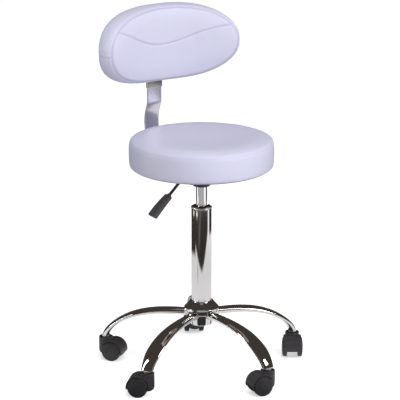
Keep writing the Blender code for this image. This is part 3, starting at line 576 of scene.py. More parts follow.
def plywood(name="Birch plywood"):
    def make(label):
        finish = Finish(label)
        finish.roughness(25, 0.62, 0.80)
        place = finish.tree.nodes.new("ShaderNodeTexCoord").outputs["Object"]
        stretch = finish.tree.nodes.new("ShaderNodeMapping")
        stretch.inputs["Scale"].default_value = (6, 60, 60)
        finish.tree.links.new(place, stretch.inputs["Vector"])
        grain = noise_node(finish.tree, stretch.outputs["Vector"], 3.0, 6, 0.65)
        finish.colour((0.62, 0.47, 0.30), (0.42, 0.28, 0.15), grain)
        finish.bump(grain, 0.0002)
        return finish
    return kept(name, make)


# ---------------------------------------------------------------- places taken from the frame
def reach(node):
    """Lowest and highest corner of a frame node, seen from the foot of the column's axis."""
    low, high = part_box(node)
    return np.array(low) - COLUMN, np.array(high) - COLUMN


def place_of(joint):
    """A joint's place, seen from the foot of the column's axis."""
    return np.array(JOINTS[joint]["pos_m"]) - COLUMN


def leg_headings():
    """Headings of the five castor stems round the column."""
    stems = np.array([place_of(f"castor_{n + 1}_swivel") for n in range(LEG_COUNT)])
    return np.arctan2(stems[:, 1], stems[:, 0])


def refinish(node, finish):
    """Give a frame node that stays visible its finish."""
    materials = frame["nodes"][node].data.materials
    materials.clear()
    materials.append(finish)


def need(condition, message):
    if not condition:
        raise RuntimeError(message)


class StoolOperator(Operator):
    """Base of the stool's operators: build() does the work and may raise."""
    bl_options = {"REGISTER", "UNDO"}

    def execute(self, context):
        self.build(context.scene)
        return {"FINISHED"}


# ---------------------------------------------------------------- base
class STOOL_OT_column(StoolOperator):
    """Chromed column with a rolled rim, its guide bush, and the hub under it"""
    bl_idname = "stool.column"
    bl_label = "Column and hub"

    def build(self, scene):
        low, high = reach("column_tube")
        top, foot = high[2], low[2]
        outer = reach("hub_tube")[1][0] - 0.0030
        roll = scene.stool_base.rim_roll
        wall = outer - 0.0020
        # tube wall, then a bead whose section is a circle of radius roll, then the mouth's thin lip
        t = np.linspace(-0.5 * np.pi, 0.62 * np.pi, 12)
        bead = np.stack([outer - 0.0007 + roll * np.cos(t), top - 0.0031 + roll * np.sin(t)], 1)
        profile = np.vstack([[(0.0053, foot), (outer - 0.0006, foot), (outer, foot + 0.0006),
                              (outer, foot + 0.1), (outer, top - 0.0058)], bead,
                             [(outer - 0.0012, top - 0.0006), (outer - 0.0017, top), (wall, top - 0.0006),
                              (wall, foot + 0.1), (wall, foot + 0.0040), (0.0053, foot + 0.0040)]])
        tube = turn(profile, 128, loop=True)
        add_piece("column_chrome", [tube], chrome(), "base", ["column_tube"])

        bush_low, bush_high = reach("guide_bush")
        bore = reach("gas_cylinder")[1][0] + 0.0004
        bush_top, edge = bush_high[2], bush_high[0]
        profile = [(bore, bush_low[2]), (edge, bush_low[2]), (edge, bush_top - 0.0022),
                   (edge - 0.0016, bush_top - 0.0008), (edge - 0.0030, bush_top - 0.0014),
                   (bore + 0.0020, bush_top - 0.0050), (bore, bush_top - 0.0040)]
        bush = turn(fillet(profile, 0.0006, 4, closed=True), 96, loop=True)
        add_piece("guide_bush_ring", [bush], black_plastic(), "base", ["guide_bush"])

        hub_low, hub_high = reach("hub_tube")
        r = hub_high[0]
        inner = outer + 0.0003
        profile = [(inner, hub_low[2]), (r, hub_low[2]), (r, hub_high[2]), (inner, hub_high[2])]
        hub = turn(fillet(profile, (0.0003, 0.0016, 0.0010, 0.0003), 5, closed=True), 96, loop=True)
        add_piece("hub_sleeve", [hub], chrome(), "base", ["hub_tube"])


class STOOL_OT_cover(StoolOperator):
    """Chromed hub cover: a low cone over a band that arches over each leg"""
    bl_idname = "stool.cover"
    bl_label = "Hub cover"

    def build(self, scene):
        low, high = reach("hub_cover")
        top, foot, r = high[2], low[2], 0.5 * (high[0] - low[0])
        neck, shoulder = reach("column_tube")[1][0] + 0.0004, foot + 0.0180
        sides = 720
        t = np.linspace(0, 2 * np.pi, sides, endpoint=False)
        # d is the distance along the band to the nearest leg; the arch is foot + rise * sqrt(1 - (d / half)^2)
        away = (t[:, None] - leg_headings()[None] + np.pi) % (2 * np.pi) - np.pi
        d = r * np.abs(away).min(1)
        half, rise = 0.0165, 0.0112
        lower = foot + rise * np.sqrt(np.clip(1 - (d / half) ** 2, 0, 1)) + 0.0004
        outside = fillet([(neck, top - 0.0012), (neck + 0.0006, top), (neck + 0.0030, top - 0.0002),
                          (r - 0.0022, shoulder + 0.0004), (r, shoulder - 0.0016), (r, shoulder - 0.004)],
                         0.0016, 5)
        drop = np.linspace(0, 1, 12)
        start = outside[-1, 1]
        band = np.array([(r, s) for s in drop])
        flare = 0.0005 * np.exp(-((1 - drop) / 0.10) ** 2)
        rings = [circle_at(radius, t, z) for radius, z in outside]
        for (radius, s), out in zip(band[1:], flare[1:]):
            z = start + (lower - start) * s
            rings.append(circle_at(radius + out, t, z))
        wall = 0.0011
        for s in drop[::-1]:
            z = start - wall + (lower - start + wall) * s
            rings.append(circle_at(r - wall, t, z))
        rings.append(circle_at(neck + 0.002, t, top - 0.0026))
        cover = skin(rings, loop=True)
        add_piece("hub_cover_chrome", [cover], chrome(), "base", ["hub_cover"])


def leg_shape(settings):
    """Centre line and half sizes of a leg: level at the hub and upright at the tip.
    With share = how far out, fall = 1 - (1 - share^2.83)^(1/1.467) and z runs from hub to tip by fall."""
    stem = np.linalg.norm(place_of("castor_1_swivel")[:2])
    low, high = reach("leg_1")
    tip, start = low[2], reach("hub_tube")[1][0] + 0.0003
    hub_z = high[2] - 0.0088
    r = start + (stem - start) * np.sin(np.linspace(0, np.pi / 2, 91))
    share = np.clip((r - start) / (stem - start), 0, 1)
    z = hub_z - (hub_z - tip) * (1 - (1 - share ** 2.83) ** (1 / 1.467))
    line = evenly(np.stack([r, np.zeros_like(r), z], 1), 110)
    s = np.linspace(0, 1, 110)
    bulge = np.sin(np.pi / 2 * np.minimum(s / 0.78, 1)) ** 2
    close = np.clip((s - 0.78) / 0.22, 0, 1)
    ease = close ** 2 * (3 - 2 * close)
    width = 0.0265 + (settings.leg_bend_width - 0.0265) * bulge + (0.0330 - settings.leg_bend_width) * ease
    depth = 0.0175 + (settings.leg_bend_depth - 0.0175) * bulge + (0.0165 - settings.leg_bend_depth) * ease
    return line, width / 2, depth / 2, tip, stem


class STOOL_OT_legs(StoolOperator):
    """Five chromed legs, each a flattened tube bent down to its castor, with a bright end plate"""
    bl_idname = "stool.legs"
    bl_label = "Legs"

    def build(self, scene):
        line, width, depth, tip, stem = leg_shape(scene.stool_base)
        t = np.linspace(0, 2 * np.pi, 56, endpoint=False)
        # section: across = w |cos t|^0.8, up = d |sin t|^0.8, with their signs
        section = np.stack([signed_power(np.cos(t), 0.8), signed_power(np.sin(t), 0.8)], 1)
        tangent = unit(np.gradient(line, axis=0))
        tangent[0], tangent[-1] = (1, 0, 0), (0, 0, -1)
        up = np.stack([-tangent[:, 2], np.zeros(len(line)), tangent[:, 0]], 1)
        plate = scene.stool_base.end_plate
        trimmed = line.copy()
        trimmed[:, 2] = np.maximum(trimmed[:, 2], tip + plate)
        rings = (trimmed[:, None] + section[None, :, :1] * width[:, None, None] * np.array([0, 1.0, 0])
                 + section[None, :, 1:] * depth[:, None, None] * up[:, None])
        tube = skin(rings)
        lip = [(0.93, 0.0), (0.985, 0.0003), (1.0, 0.0009), (1.0, plate - 0.0006), (0.985, plate - 0.0001)]
        end_rings = [np.stack([stem + section[:, 1] * depth[-1] * k, section[:, 0] * width[-1] * k,
                               np.full(len(t), tip + h)], 1) for k, h in lip]
        end_plate = skin(end_rings)
        for number, heading in enumerate(leg_headings()):
            out = (math.cos(heading), math.sin(heading), 0)
            across = (-math.sin(heading), math.cos(heading), 0)
            shells = [placed(shell, (0, 0, 0), out, across) for shell in (tube, end_plate)]
            name = f"leg_{number + 1}_chrome"
            add_piece(name, shells, chrome(), "base", [f"leg_{number + 1}"])


# ---------------------------------------------------------------- castors
def solid_object(name, shell):
    """A bare object made from one shell in its own axes."""
    verts, groups = shell
    mesh = bpy.data.meshes.new(name)
    mesh.from_pydata(verts, [], [face for group in groups for face in group.tolist()])
    made = bpy.data.objects.new(name, mesh)
    bpy.context.scene.collection.objects.link(made)
    return made


def hood_template(settings):
    """One castor hood about its stem's axis, trailing along +X: a round nose joined to a body between the
    wheels and a fender over them, with the wheels' pockets cut out and every edge rounded."""
    pivot, axle = place_of("castor_1_swivel"), place_of("castor_1_roll_left")
    trail, axle_z = np.linalg.norm((axle - pivot)[:2]), axle[2]
    low, high = reach("castor_1_hood")
    top, foot, half = high[2], low[2], 0.0225
    fender, fender_foot = 0.0288, 0.0190
    t = np.linspace(math.radians(118), -math.asin((axle_z - fender_foot) / fender), 44)
    arc = np.stack([trail + fender * np.cos(t), axle_z + fender * np.sin(t)], 1)
    outline = np.vstack([arc, [(trail, fender_foot), (0, foot), (0, arc[0, 1])]])
    y = np.array([-half, half])
    rings = np.stack([np.broadcast_to(outline[:, 0], (2, len(outline))),
                      np.broadcast_to(y[:, None], (2, len(outline))),
                      np.broadcast_to(outline[:, 1], (2, len(outline)))], -1)
    hood = solid_object("hood_work", skin(rings))
    nose_r, cup = 0.0178, 0.0145
    profile = fillet([(0, foot), (nose_r - 0.006, foot), (nose_r - 0.0016, foot + 0.0034),
                      (nose_r, foot + 0.0095), (nose_r, top), (cup, top), (cup - 0.001, top - 0.003),
                      (0, top - 0.003)], 0.0012, 5)
    nose = solid_object("hood_nose", turn(profile, 64))
    tools = [(nose, "UNION")]
    pocket = turn([(0, 0), (axle_z + 0.0012, 0), (axle_z + 0.0012, 0.03), (0, 0.03)], 72)
    for side in (1, -1):
        place = placed(pocket, (trail, side * 0.0132, axle_z), (1, 0, 0), (0, 0, -side))
        tools.append((solid_object("hood_pocket", place), "DIFFERENCE"))
    for tool, operation in tools:
        change = hood.modifiers.new(tool.name, "BOOLEAN")
        change.operation, change.solver, change.object = operation, "EXACT", tool
    cells = hood.modifiers.new("cells", "REMESH")
    cells.mode, cells.voxel_size = "VOXEL", settings.hood_voxel
    soften = hood.modifiers.new("soften", "SMOOTH")
    soften.factor, soften.iterations = 0.5, 5
    mesh = evaluated_mesh(hood)
    corners = np.empty(len(mesh.loops), np.int32)
    mesh.loops.foreach_get("vertex_index", corners)
    need(len(mesh.polygons) * 4 == len(corners) and len(corners) > 1000, "the castor hood came out empty")
    shell = (places_of(mesh), [corners.reshape(-1, 4)])
    for tool, _ in tools:
        bpy.data.objects.remove(tool)
    bpy.data.objects.remove(hood)
    return shell


def wheel_template(axle_z):
    """One wheel about +Z, its outer face up: tread, rounded edges, a shallow dome and a groove ring.
    The dome's height falls off as 1 - (r / R)^2."""
    inner, outer, rim = 0.0135, 0.0270, 0.0228
    r = np.linspace(0, axle_z - 0.0016, 26)
    dome = rim + 0.0012 + (outer - rim - 0.0012) * (1 - (r / axle_z) ** 2) ** 0.8
    dome -= 0.0006 * np.exp(-((r - 0.0178) / 0.0006) ** 2) + 0.0009 * np.exp(-(r / 0.0022) ** 4)
    t = np.linspace(0.5 * np.pi, 0, 7)
    edge = np.stack([axle_z - 0.0014 + 0.0014 * np.cos(t), rim - 0.0014 + 0.0022 * np.sin(t)], 1)
    low_edge = np.stack([axle_z - 0.001 + 0.001 * np.cos(t[::-1]), inner + 0.001 - 0.001 * np.sin(t[::-1])], 1)
    profile = np.vstack([np.stack([r, dome], 1), edge, low_edge, [(0.006, inner), (0.0044, inner + 0.0006),
                                                                (0.0044, outer - 0.006), (0, outer - 0.006)]])
    return turn(profile, 96)


class STOOL_OT_castors(StoolOperator):
    """Five hooded twin-wheel castors with plated stems"""
    bl_idname = "stool.castors"
    bl_label = "Castors"

    def build(self, scene):
        hood = hood_template(scene.stool_base)
        axle_z = place_of("castor_1_roll_left")[2]
        wheel = wheel_template(axle_z)
        top = reach("castor_1_hood")[1][2]
        flange, tip = top - 0.0027, reach("leg_1")[0][2]
        stem = turn(fillet([(0, 0.0400), (0.0055, 0.0400), (0.0055, flange), (0.0090, flange),
                            (0.0090, tip - 0.0004), (0.0040, tip - 0.0004), (0.0040, tip + 0.0080),
                            (0, tip + 0.0080)], 0.0005, 4), 48)
        for number in range(1, LEG_COUNT + 1):
            pivot = place_of(f"castor_{number}_swivel")
            axle = place_of(f"castor_{number}_roll_left")
            trail = unit((axle - pivot) * (1, 1, 0))
            across = np.cross((0, 0, 1), trail)
            foot = pivot * (1, 1, 0)
            name = f"castor_{number}"
            add_piece(f"{name}_hood_shell", [placed(hood, foot, trail, across)], black_plastic(), name,
                      [f"{name}_hood"])
            add_piece(f"{name}_stem_pin", [placed(stem, foot, trail, across)], zinc(), "base", [f"{name}_stem"])
            for side, label in ((1, "left"), (-1, "right")):
                hub = foot + trail * np.linalg.norm((axle - pivot)[:2]) + np.array([0, 0, axle_z])
                disc = placed(wheel, hub, trail, np.array([0, 0, -side]))
                # painted shade: the wheels get the same black plastic painted darker, at 0.72 of its colour
                add_piece(f"{name}_wheel_{label}_disc", [disc], black_plastic("Black wheel", 0.72),
                          f"{name}_{label}", [f"{name}_wheel_{label}"])
            refinish(f"{name}_axle", zinc())


# ---------------------------------------------------------------- padded covers
def blow_up(piece, cell, cap, is_held, is_flat, frames=20):
    """Let air push a cover outwards: an even mesh of the given cell, then Cloth with pressure, with every
    point's move limited to cap * tanh(move / cap), and one subdivision.  is_held says which points stay,
    and is_flat which ones are smoothed further."""
    cells = piece.modifiers.new("cells", "REMESH")
    cells.mode, cells.voxel_size = "VOXEL", cell
    bake_modifiers(piece)
    rest = places_of(piece.data)
    group = piece.vertex_groups.new(name="held")
    held = np.flatnonzero(is_held(rest - COLUMN))
    group.add(held.tolist(), 1.0, "REPLACE")
    cloth = piece.modifiers.new("cover", "CLOTH")
    setup = cloth.settings
    setup.quality, setup.mass, setup.time_scale = 6, 0.25, 1.0
    setup.tension_stiffness = setup.compression_stiffness = 28
    setup.shear_stiffness, setup.bending_stiffness = 12, 0.6
    setup.use_pressure, setup.uniform_pressure_force = True, 4.0
    setup.vertex_group_mass = group.name
    setup.effector_weights.gravity = 0
    cloth.collision_settings.use_self_collision = False
    scene = bpy.context.scene
    cloth.point_cache.frame_start, cloth.point_cache.frame_end = 1, frames
    for step in range(1, frames + 1):
        scene.frame_set(step)
    blown = places_of(evaluated_mesh(piece))
    need(np.isfinite(blown).all(), "the cover's simulation failed")
    piece.modifiers.clear()
    scene.frame_set(1)
    move = blown - rest
    size = np.linalg.norm(move, axis=1, keepdims=True)
    rest = rest + move * (cap * np.tanh(size / cap) / np.maximum(size, 1e-9))
    piece.vertex_groups.clear()
    set_places(piece.data, rest)
    soften = piece.modifiers.new("soften", "SMOOTH")
    soften.factor, soften.iterations = 0.5, 4
    group = piece.vertex_groups.new(name="flat")
    group.add(np.flatnonzero(is_flat(rest - COLUMN)).tolist(), 1.0, "REPLACE")
    even = piece.modifiers.new("even", "SMOOTH")
    even.factor, even.iterations, even.vertex_group = 0.5, 16, group.name
    finer = piece.modifiers.new("finer", "SUBSURF")
    finer.levels = finer.render_levels = 1
    bake_modifiers(piece)
    piece.vertex_groups.clear()
    piece.data.shade_smooth()


def press_seams(piece, seams, along):
    """Press seams into a cover.  Each seam is (distance of every point from it, depth, width, pucker): the
    point moves in by depth * exp(-(d / width)^2), and beside it by small folds that follow the place along
    the seam, pucker * exp(-(d / 9 mm)^2) * (sines of uneven pitch).  The "seam" attribute marks them with
    painted shade, strongest in each seam's middle, which darkens the vinyl's colour."""
    places, normals = places_of(piece.data), normals_of(piece.data)
    move = np.zeros(len(places))
    for distance, depth, width, pucker in seams:
        move -= depth * np.exp(-(distance / width) ** 2)
        folds = (np.sin(along * 2 * np.pi / 0.0113) + 0.7 * np.sin(along * 2 * np.pi / 0.0171 + 1.3)
                 + 0.5 * np.sin(along * 2 * np.pi / 0.0067 + 0.4))
        drift = 0.5 + 0.5 * np.sin(along * 2 * np.pi / 0.093 + 2.0)
        beside = np.exp(-(distance / 0.009) ** 2) * (1 - np.exp(-(distance / width) ** 2))
        move += pucker * folds * drift * beside
    set_places(piece.data, places + normals * move[:, None])
    # painted shade along each seam, strongest in its middle; the vinyl's colour darkens by it
    shade = np.max([np.exp(-(distance / (0.7 * width)) ** 2) for distance, _, width, _ in seams], axis=0)
    mark = piece.data.attributes.get("seam") or piece.data.attributes.new("seam", "FLOAT", "POINT")
    before = np.empty(len(places), np.float32)
    mark.data.foreach_get("value", before)
    mark.data.foreach_set("value", np.maximum(before, shade).astype(np.float32))


def stitches(line, normals, pitch=0.0042, length=0.0027, radius=0.00035):
    """Thread stitches laid along a line, one every pitch, each a short capsule half sunk in the cover."""
    count = max(int(np.linalg.norm(np.diff(line, axis=0), axis=1).sum() / pitch), 2)
    both = evenly(np.hstack([line, normals * 1e-9]), count)
    spots = both[:, :3]
    facing = np.stack([np.interp(np.linspace(0, 1, count), np.linspace(0, 1, len(line)), normals[:, k])
                       for k in range(3)], 1)
    run = unit(np.gradient(spots, axis=0))
    t = np.linspace(0, np.pi, 5)
    capsule = turn(np.stack([radius * np.sin(t) ** 0.6, -0.5 * length * np.cos(t)], 1), 6)
    verts, faces = capsule
    lying = verts[:, [2, 0, 1]], faces
    return many(lying, spots, run, np.cross(unit(facing), run))


# ---------------------------------------------------------------- seat
def seat_profile(settings):
    """Half section of the cushion (radius, height) from the middle of its underside, round the side with
    its crease, over the shoulder and into the dished middle."""
    low, high = reach("seat_cushion")
    foot, crown, r = low[2], high[2], 0.5 * (high[0] - low[0])
    side = [(0, foot + 0.0125), (r - 0.020, foot + 0.0125), (r - 0.0150, foot + 0.0005),
            (r - 0.0060, foot + 0.0006), (r - 0.0022, foot + 0.0060), (r - 0.0012, foot + 0.0200),
            (r - 0.0008, foot + 0.0400), (r - 0.0014, crown - settings.crease_drop - 0.0060),
            (r - 0.0022, crown - settings.crease_drop),
            (r - 0.0048, crown - 0.0085), (r - 0.0120, crown - 0.0038)]
    share = np.linspace(1, 0, 16)
    reach_in = (r - 0.026) * share
    top = crown - 0.0022 - settings.dish * (1 - share ** 2) ** 1.5
    return np.vstack([fillet(side, 0.004, 4), np.stack([reach_in, top], 1)]), foot, crown, r


class STOOL_OT_seat(StoolOperator):
    """Round seat cushion in vinyl over plywood, with its side seam, turned-in hem and staples"""
    bl_idname = "stool.seat"
    bl_label = "Seat"

    def build(self, scene):
        settings = scene.stool_seat
        profile, foot, crown, r = seat_profile(settings)
        cushion = add_piece("seat_cover", [turn(profile, 200)], vinyl(), "seat", ["seat_cushion"])
        seam_z, seam_r = crown - settings.crease_drop, r - 0.0006

        def outside(p):
            return np.hypot(p[:, 0], p[:, 1]) > 0.9 * r

        def held(p):
            return (p[:, 2] < foot + 0.006) | (np.abs(p[:, 2] - seam_z) < 0.003) & outside(p)

        def flat(p):
            return (p[:, 2] > seam_z) & ~outside(p)

        blow_up(cushion, settings.voxel, settings.puff, held, flat)
        places = places_of(cushion.data) - COLUMN
        radius, turn_angle = np.hypot(places[:, 0], places[:, 1]), np.arctan2(places[:, 1], places[:, 0])
        to_seam = np.hypot(radius - seam_r, places[:, 2] - seam_z)
        press_seams(cushion, [(to_seam, 0.0017, 0.0023, 0.00012)], turn_angle * r)
        cushion.data.materials.clear()
        cushion.data.materials.append(vinyl())

        t = np.linspace(0, 2 * np.pi, 401)
        line, facing = circle_at(seam_r - 0.0014, t, seam_z + 0.0028), circle_at(1, t, 0.5)
        sewn = stitches(line, facing, pitch=0.0046, length=0.0030)
        add_piece("seat_stitches", [sewn], thread(), "seat")

        # turned-in hem: its cut edge wavers as a sum of sines round the seat
        sides = 360
        t = np.linspace(0, 2 * np.pi, sides, endpoint=False)
        waver = 0.0018 * np.sin(11 * t + 0.6) + 0.0012 * np.sin(23 * t + 1.9) + 0.0008 * np.sin(41 * t)
        under = foot - 0.0001
        hem = [(0.151, under, 1), (0.1505, under - 0.0006, 1), (0.1515, under - 0.0010, 1),
               (0.164, under - 0.0010, 0.2), (r - 0.0130, under - 0.0006, 0), (r - 0.0090, foot + 0.0010, 0),
               (r - 0.0130, foot + 0.0016, 0), (0.166, under, 0.1)]
        rings = [circle_at(radius + waver * share, t, z) for radius, z, share in hem]
        add_piece("seat_hem", [skin(rings, loop=True)], vinyl(), "seat")
        wire = [(-0.0055, 0, -0.0004), (-0.0055, 0, 0.0006), (0.0055, 0, 0.0006), (0.0055, 0, -0.0004)]
        staple = sweep(fillet(wire, 0.0005, 4), (0, 1, 0), round_box(0.0009, 0.0006, 0.0002, 2))
        count = settings.staples
        turns = np.linspace(0, 2 * np.pi, count, endpoint=False) + 0.03 * np.sin(np.arange(count) * 2.4)
        spots = circle_at(0.1585, turns, under - 0.0011)
        lean = turns + np.pi / 2 + 0.22 * np.sin(np.arange(count) * 3.7)
        run = np.stack([np.cos(lean), np.sin(lean), np.zeros(count)], 1)
        add_piece("seat_staples", [many(staple, spots, run, np.cross(run, (0, 0, 1)))], zinc(), "seat")


class STOOL_OT_lift(StoolOperator):
    """Gas cylinder and the black collar where it enters the seat plate"""
    bl_idname = "stool.lift"
    bl_label = "Gas lift"

    def build(self, scene):
        low, high = reach("gas_cylinder")
        r = 0.5 * (high[0] - low[0])
        rod = turn(steady(fillet([(0, low[2]), (r, low[2]), (r, high[2]), (0, high[2])], 0.0012, 5)), 96)
        add_piece("gas_cylinder_rod", [rod], ground_chrome(), "seat", ["gas_cylinder"])
        c_low, c_high = reach("dust_collar")
        wide, top, foot = c_high[0], c_high[2], c_low[2]
        profile = [(r + 0.0003, top), (wide - 0.0010, top), (wide, top - 0.0010), (wide - 0.0002, top - 0.0034),
                   (wide - 0.0022, foot + 0.0004), (wide - 0.0050, foot), (r + 0.0012, foot + 0.0003),
                   (r + 0.0003, foot + 0.0010)]
        collar = turn(fillet(profile, 0.0007, 4, closed=True), 96, loop=True)
        add_piece("dust_collar_cup", [collar], black_plastic(), "seat", ["dust_collar"])
        for node, finish in (("seat_plate", black_steel()), ("seat_board", plywood()),
                             ("rubber_damper", rubber())):
            refinish(node, finish)
        for node in ("lever_pivot_pin", "thrust_bearing", "piston_rod", "retaining_clip", "valve_button"):
            refinish(node, zinc())
        for node in ("piston", "cylinder_gland"):
            refinish(node, black_plastic())
        for name in [f"plate_bolt_{n}" for n in (1, 2, 3, 4)] + ["bar_bolt_1", "bar_bolt_2"]:
            b_low, b_high = reach(name)
            x, y = 0.5 * (b_low + b_high)[:2]
            head, foot = 0.0062, b_low[2]
            t = np.linspace(0, 2 * np.pi, 36, endpoint=False)
            # hexagon socket: radius of a hexagon's side at angle t is a / cos(t mod 60 deg - 30 deg)
            hexagon = 0.0026 / np.cos((t % (np.pi / 3)) - np.pi / 6)
            steps = [(hexagon * 0.98, foot + 0.0024), (hexagon, foot + 0.0003), (hexagon + 0.0003, foot),
                     (np.full(36, head - 0.0006), foot), (np.full(36, head), foot + 0.0006),
                     (np.full(36, head), foot + 0.0038), (np.full(36, head - 0.0003), foot + 0.0040),
                     (np.full(36, 0.0030), foot + 0.0040), (np.full(36, 0.0030), b_high[2])]
            rings = [circle_at(radius, t, z, (x, y)) for radius, z in steps]
            add_piece(f"{name}_screw", [skin(rings)], zinc(), "seat", [name])


# ---------------------------------------------------------------- height lever
class STOOL_OT_lever(StoolOperator):
    """Bent height lever with its moulded grip"""
    bl_idname = "stool.lever"
    bl_label = "Height lever"

    def build(self, scene):
        pivot = place_of("lever_lift")
        high = reach("lever_rod")[1]
        slope = math.radians(44)
        bend, inner, thick = pivot[0] - 0.0116, high[0], 0.0038

        def drop(x):
            return pivot[2] + (x - bend) * math.tan(slope)

        grip_x, end_x = bend - 0.0504, bend - 0.0984
        tip = end_x + 0.012
        corners = [(inner, 0, pivot[2]), (bend, 0, pivot[2]), (tip, 0, drop(tip))]
        path = evenly(fillet(corners, 0.010, 10), 60)
        round_section = circle(thick, 24)
        rod = sweep(path, (0, 1, 0), round_section)
        eye_half, eye_r = 0.0155, 0.0068
        eye = placed(turn(fillet([(0, -eye_half), (eye_r, -eye_half), (eye_r, eye_half), (0, eye_half)],
                                 0.0012, 4), 40), pivot, (1, 0, 0), (0, 0, -1))
        add_piece("lever_bent_rod", [rod, eye], black_steel(), "lever", ["lever_rod"])

        start, end = np.array([grip_x, 0, drop(grip_x)]), np.array([end_x, 0, drop(end_x)])
        s = np.concatenate([[0, 0.004, 0.014, 0.03], np.linspace(0.05, 0.96, 40), [0.978, 0.99, 0.997, 1.0]])
        line = start + (end - start) * s[:, None]
        away = unit(np.cross(end - start, (0, 1, 0)))
        # the paddle is a little fuller on its upper face: bow = 1.2 mm * sin(pi s)
        line = line - away * 0.0012 * np.sin(np.pi * s)[:, None]
        ends = np.minimum(np.minimum(s, 1 - s) / 0.045, 1)
        close = np.sqrt(np.clip(1 - (1 - ends) ** 2, 0, 1))
        widths = (0.0240 + 0.0100 * s ** 1.35) * (0.80 + 0.20 * close)
        depths = (0.0108 + 0.0022 * np.sin(np.pi * s)) * (0.70 + 0.30 * close)
        t = np.linspace(0, 2 * np.pi, 64, endpoint=False)
        # section: |2x/w|^5.6 + |2y/d|^5.6 = 1
        section = 0.5 * np.stack([signed_power(np.cos(t), 0.36), signed_power(np.sin(t), 0.36)], 1)
        grip = sweep(line, (0, 1, 0), section, widths, depths)
        collar_line = np.array([start - (end - start) * 0.045, start + (end - start) * 0.02])
        collar = sweep(evenly(collar_line, 4), (0, 1, 0), circle(0.0058, 32), 1.0, 1.0)
        ribs = []
        for share in np.linspace(0.30, 0.70, 6):
            centre = start + (end - start) * share + away * 0.0052
            across = np.array([centre + (0, -0.0075, 0), centre + (0, 0.0075, 0)])
            ribs.append(sweep(evenly(across, 8), away, circle(0.0011, 12),
                              np.sqrt(np.clip(1 - np.linspace(-0.98, 0.98, 8) ** 2, 0.02, 1))))
        # painted light: the grip gets the same black plastic painted 2.4 times paler
        add_piece("lever_paddle", [grip, collar] + ribs, black_plastic("Black grip", 2.4), "lever",
                  ["lever_grip"])


# ---------------------------------------------------------------- back bar, sleeve and knob
class STOOL_OT_bar(StoolOperator):
    """Flat chromed bar from under the seat up to the back pad, its sleeve and the clamp knob"""
    bl_idname = "stool.bar"
    bl_label = "Back bar and sleeve"

    def build(self, scene):
        low, high = reach("backrest_bar")
        s_low, s_high = reach("backrest_sleeve")
        half, thick = 0.5 * (high[0] - low[0]), 0.0050
        level = low[2] + thick / 2
        upright = s_high[1] - 0.0050 - 0.0018 - 0.0003 - thick / 2
        knee, bow, crank = upright + 0.0070, (upright + 0.0160, 0.5995), 0.6370
        corners = np.array([(0, low[1], level), (0, knee, level), (0, *bow), (0, upright, crank),
                            (0, upright, high[2])])
        path = evenly(fillet(corners, (0.1, 0.030, 0.080, 0.025, 0.1), 24), 260)
        section = round_box(2 * half, thick, 0.0011, 5)
        bar = sweep(path, (1, 0, 0), section)
        add_piece("back_bar", [bar], bar_chrome(), "seat", ["backrest_bar"])

        wide, front, rear = half + 0.0021, s_low[1], s_high[1] - 0.0050
        foot, wall = s_low[2], 0.0018
        top, middle = foot + 0.075, 0.5 * (front + rear)
        outer = round_box(2 * wide, rear - front, 0.0030, 6)
        inner = round_box(2 * (wide - wall), rear - front - 2 * wall, 0.0014, 6)
        rings = []
        eased = outer - np.sign(outer) * 0.0005
        for outline, z in ((inner, foot + 0.0004), (eased, foot), (outer, foot + 0.0006),
                           (outer, foot + 0.0040), (outer, top - 0.0040), (outer, top - 0.0006), (eased, top),
                           (inner, top - 0.0004)):
            rings.append(np.stack([outline[:, 0], middle + outline[:, 1], np.full(len(outline), z)], 1))
        tube = skin(rings, loop=True)
        flange_z = foot + 0.030
        plate = fillet([(-0.031, flange_z), (0.031, flange_z), (0.031, s_high[2]), (-0.031, s_high[2])],
                       0.006, 8, True)
        faces_at = [(front, 0.9992), (front + wall - 0.0005, 0.9992), (front + wall, 0.985)]
        centre = plate.mean(0)
        flange = skin([np.stack([centre[0] + (plate[:, 0] - centre[0]) * k, np.full(len(plate), y),
                                 centre[1] + (plate[:, 1] - centre[1]) * k], 1) for y, k in faces_at])
        boss = placed(turn(fillet([(0, 0), (0.008, 0), (0.008, 0.0060), (0, 0.0060)], 0.0008, 4), 48),
                      (0, rear - 0.0010, place_of("knob_turn")[2]), (1, 0, 0), (0, 0, -1))
        heads = turn(fillet([(0, -0.001), (0.0042, -0.001), (0.0042, 0.0006), (0.0030, 0.0020), (0, 0.0024)],
                            0.0012, 5), 24)
        spots = [(x, front + wall, z) for x in (-0.0262, 0.0262) for z in (flange_z + 0.008, s_high[2] - 0.008)]
        screws = many(heads, spots, np.tile((1.0, 0, 0), (4, 1)), np.tile((0, 0, -1.0), (4, 1)))
        add_piece("back_sleeve", [tube, flange, boss], chrome(), "back", ["backrest_sleeve"])
        add_piece("sleeve_screws", [screws], zinc(), "back")

        k_low, k_high = reach("backrest_knob")
        r = 0.0170
        face = k_high[1] - 0.0180
        t = np.linspace(0, 2 * np.pi, 168, endpoint=False)
        back_end = k_high[1]
        profile = fillet([(0, k_low[1]), (0.0030, k_low[1]), (0.0030, face), (0.0096, face),
                          (0.0104, face + 0.0052), (r - 0.0006, face + 0.0070), (r, face + 0.0090),
                          (r, back_end - 0.0030), (r - 0.0030, back_end), (0.0070, back_end - 0.0006),
                          (0, back_end - 0.0010)], 0.0012, 5)
        # seven lobes: radius * (1 - 0.10 * sin^2(3.5 t)) on the wide part only
        grip_share = np.clip((profile[:, :1] - 0.0100) / 0.0050, 0, 1)
        radius = profile[:, :1] * (1 - 0.10 * np.sin(3.5 * t) ** 2 * grip_share)
        place = place_of("knob_turn")
        rings = np.stack([radius * np.cos(t), np.repeat(profile[:, 1:], len(t), 1),
                          place[2] + radius * np.sin(t)], -1)
        knob = skin(rings[1:-1], start=(0, profile[0, 1], place[2]), end=(0, profile[-1, 1], place[2]))
        add_piece("clamp_knob", [knob], black_plastic(), "knob", ["backrest_knob"])


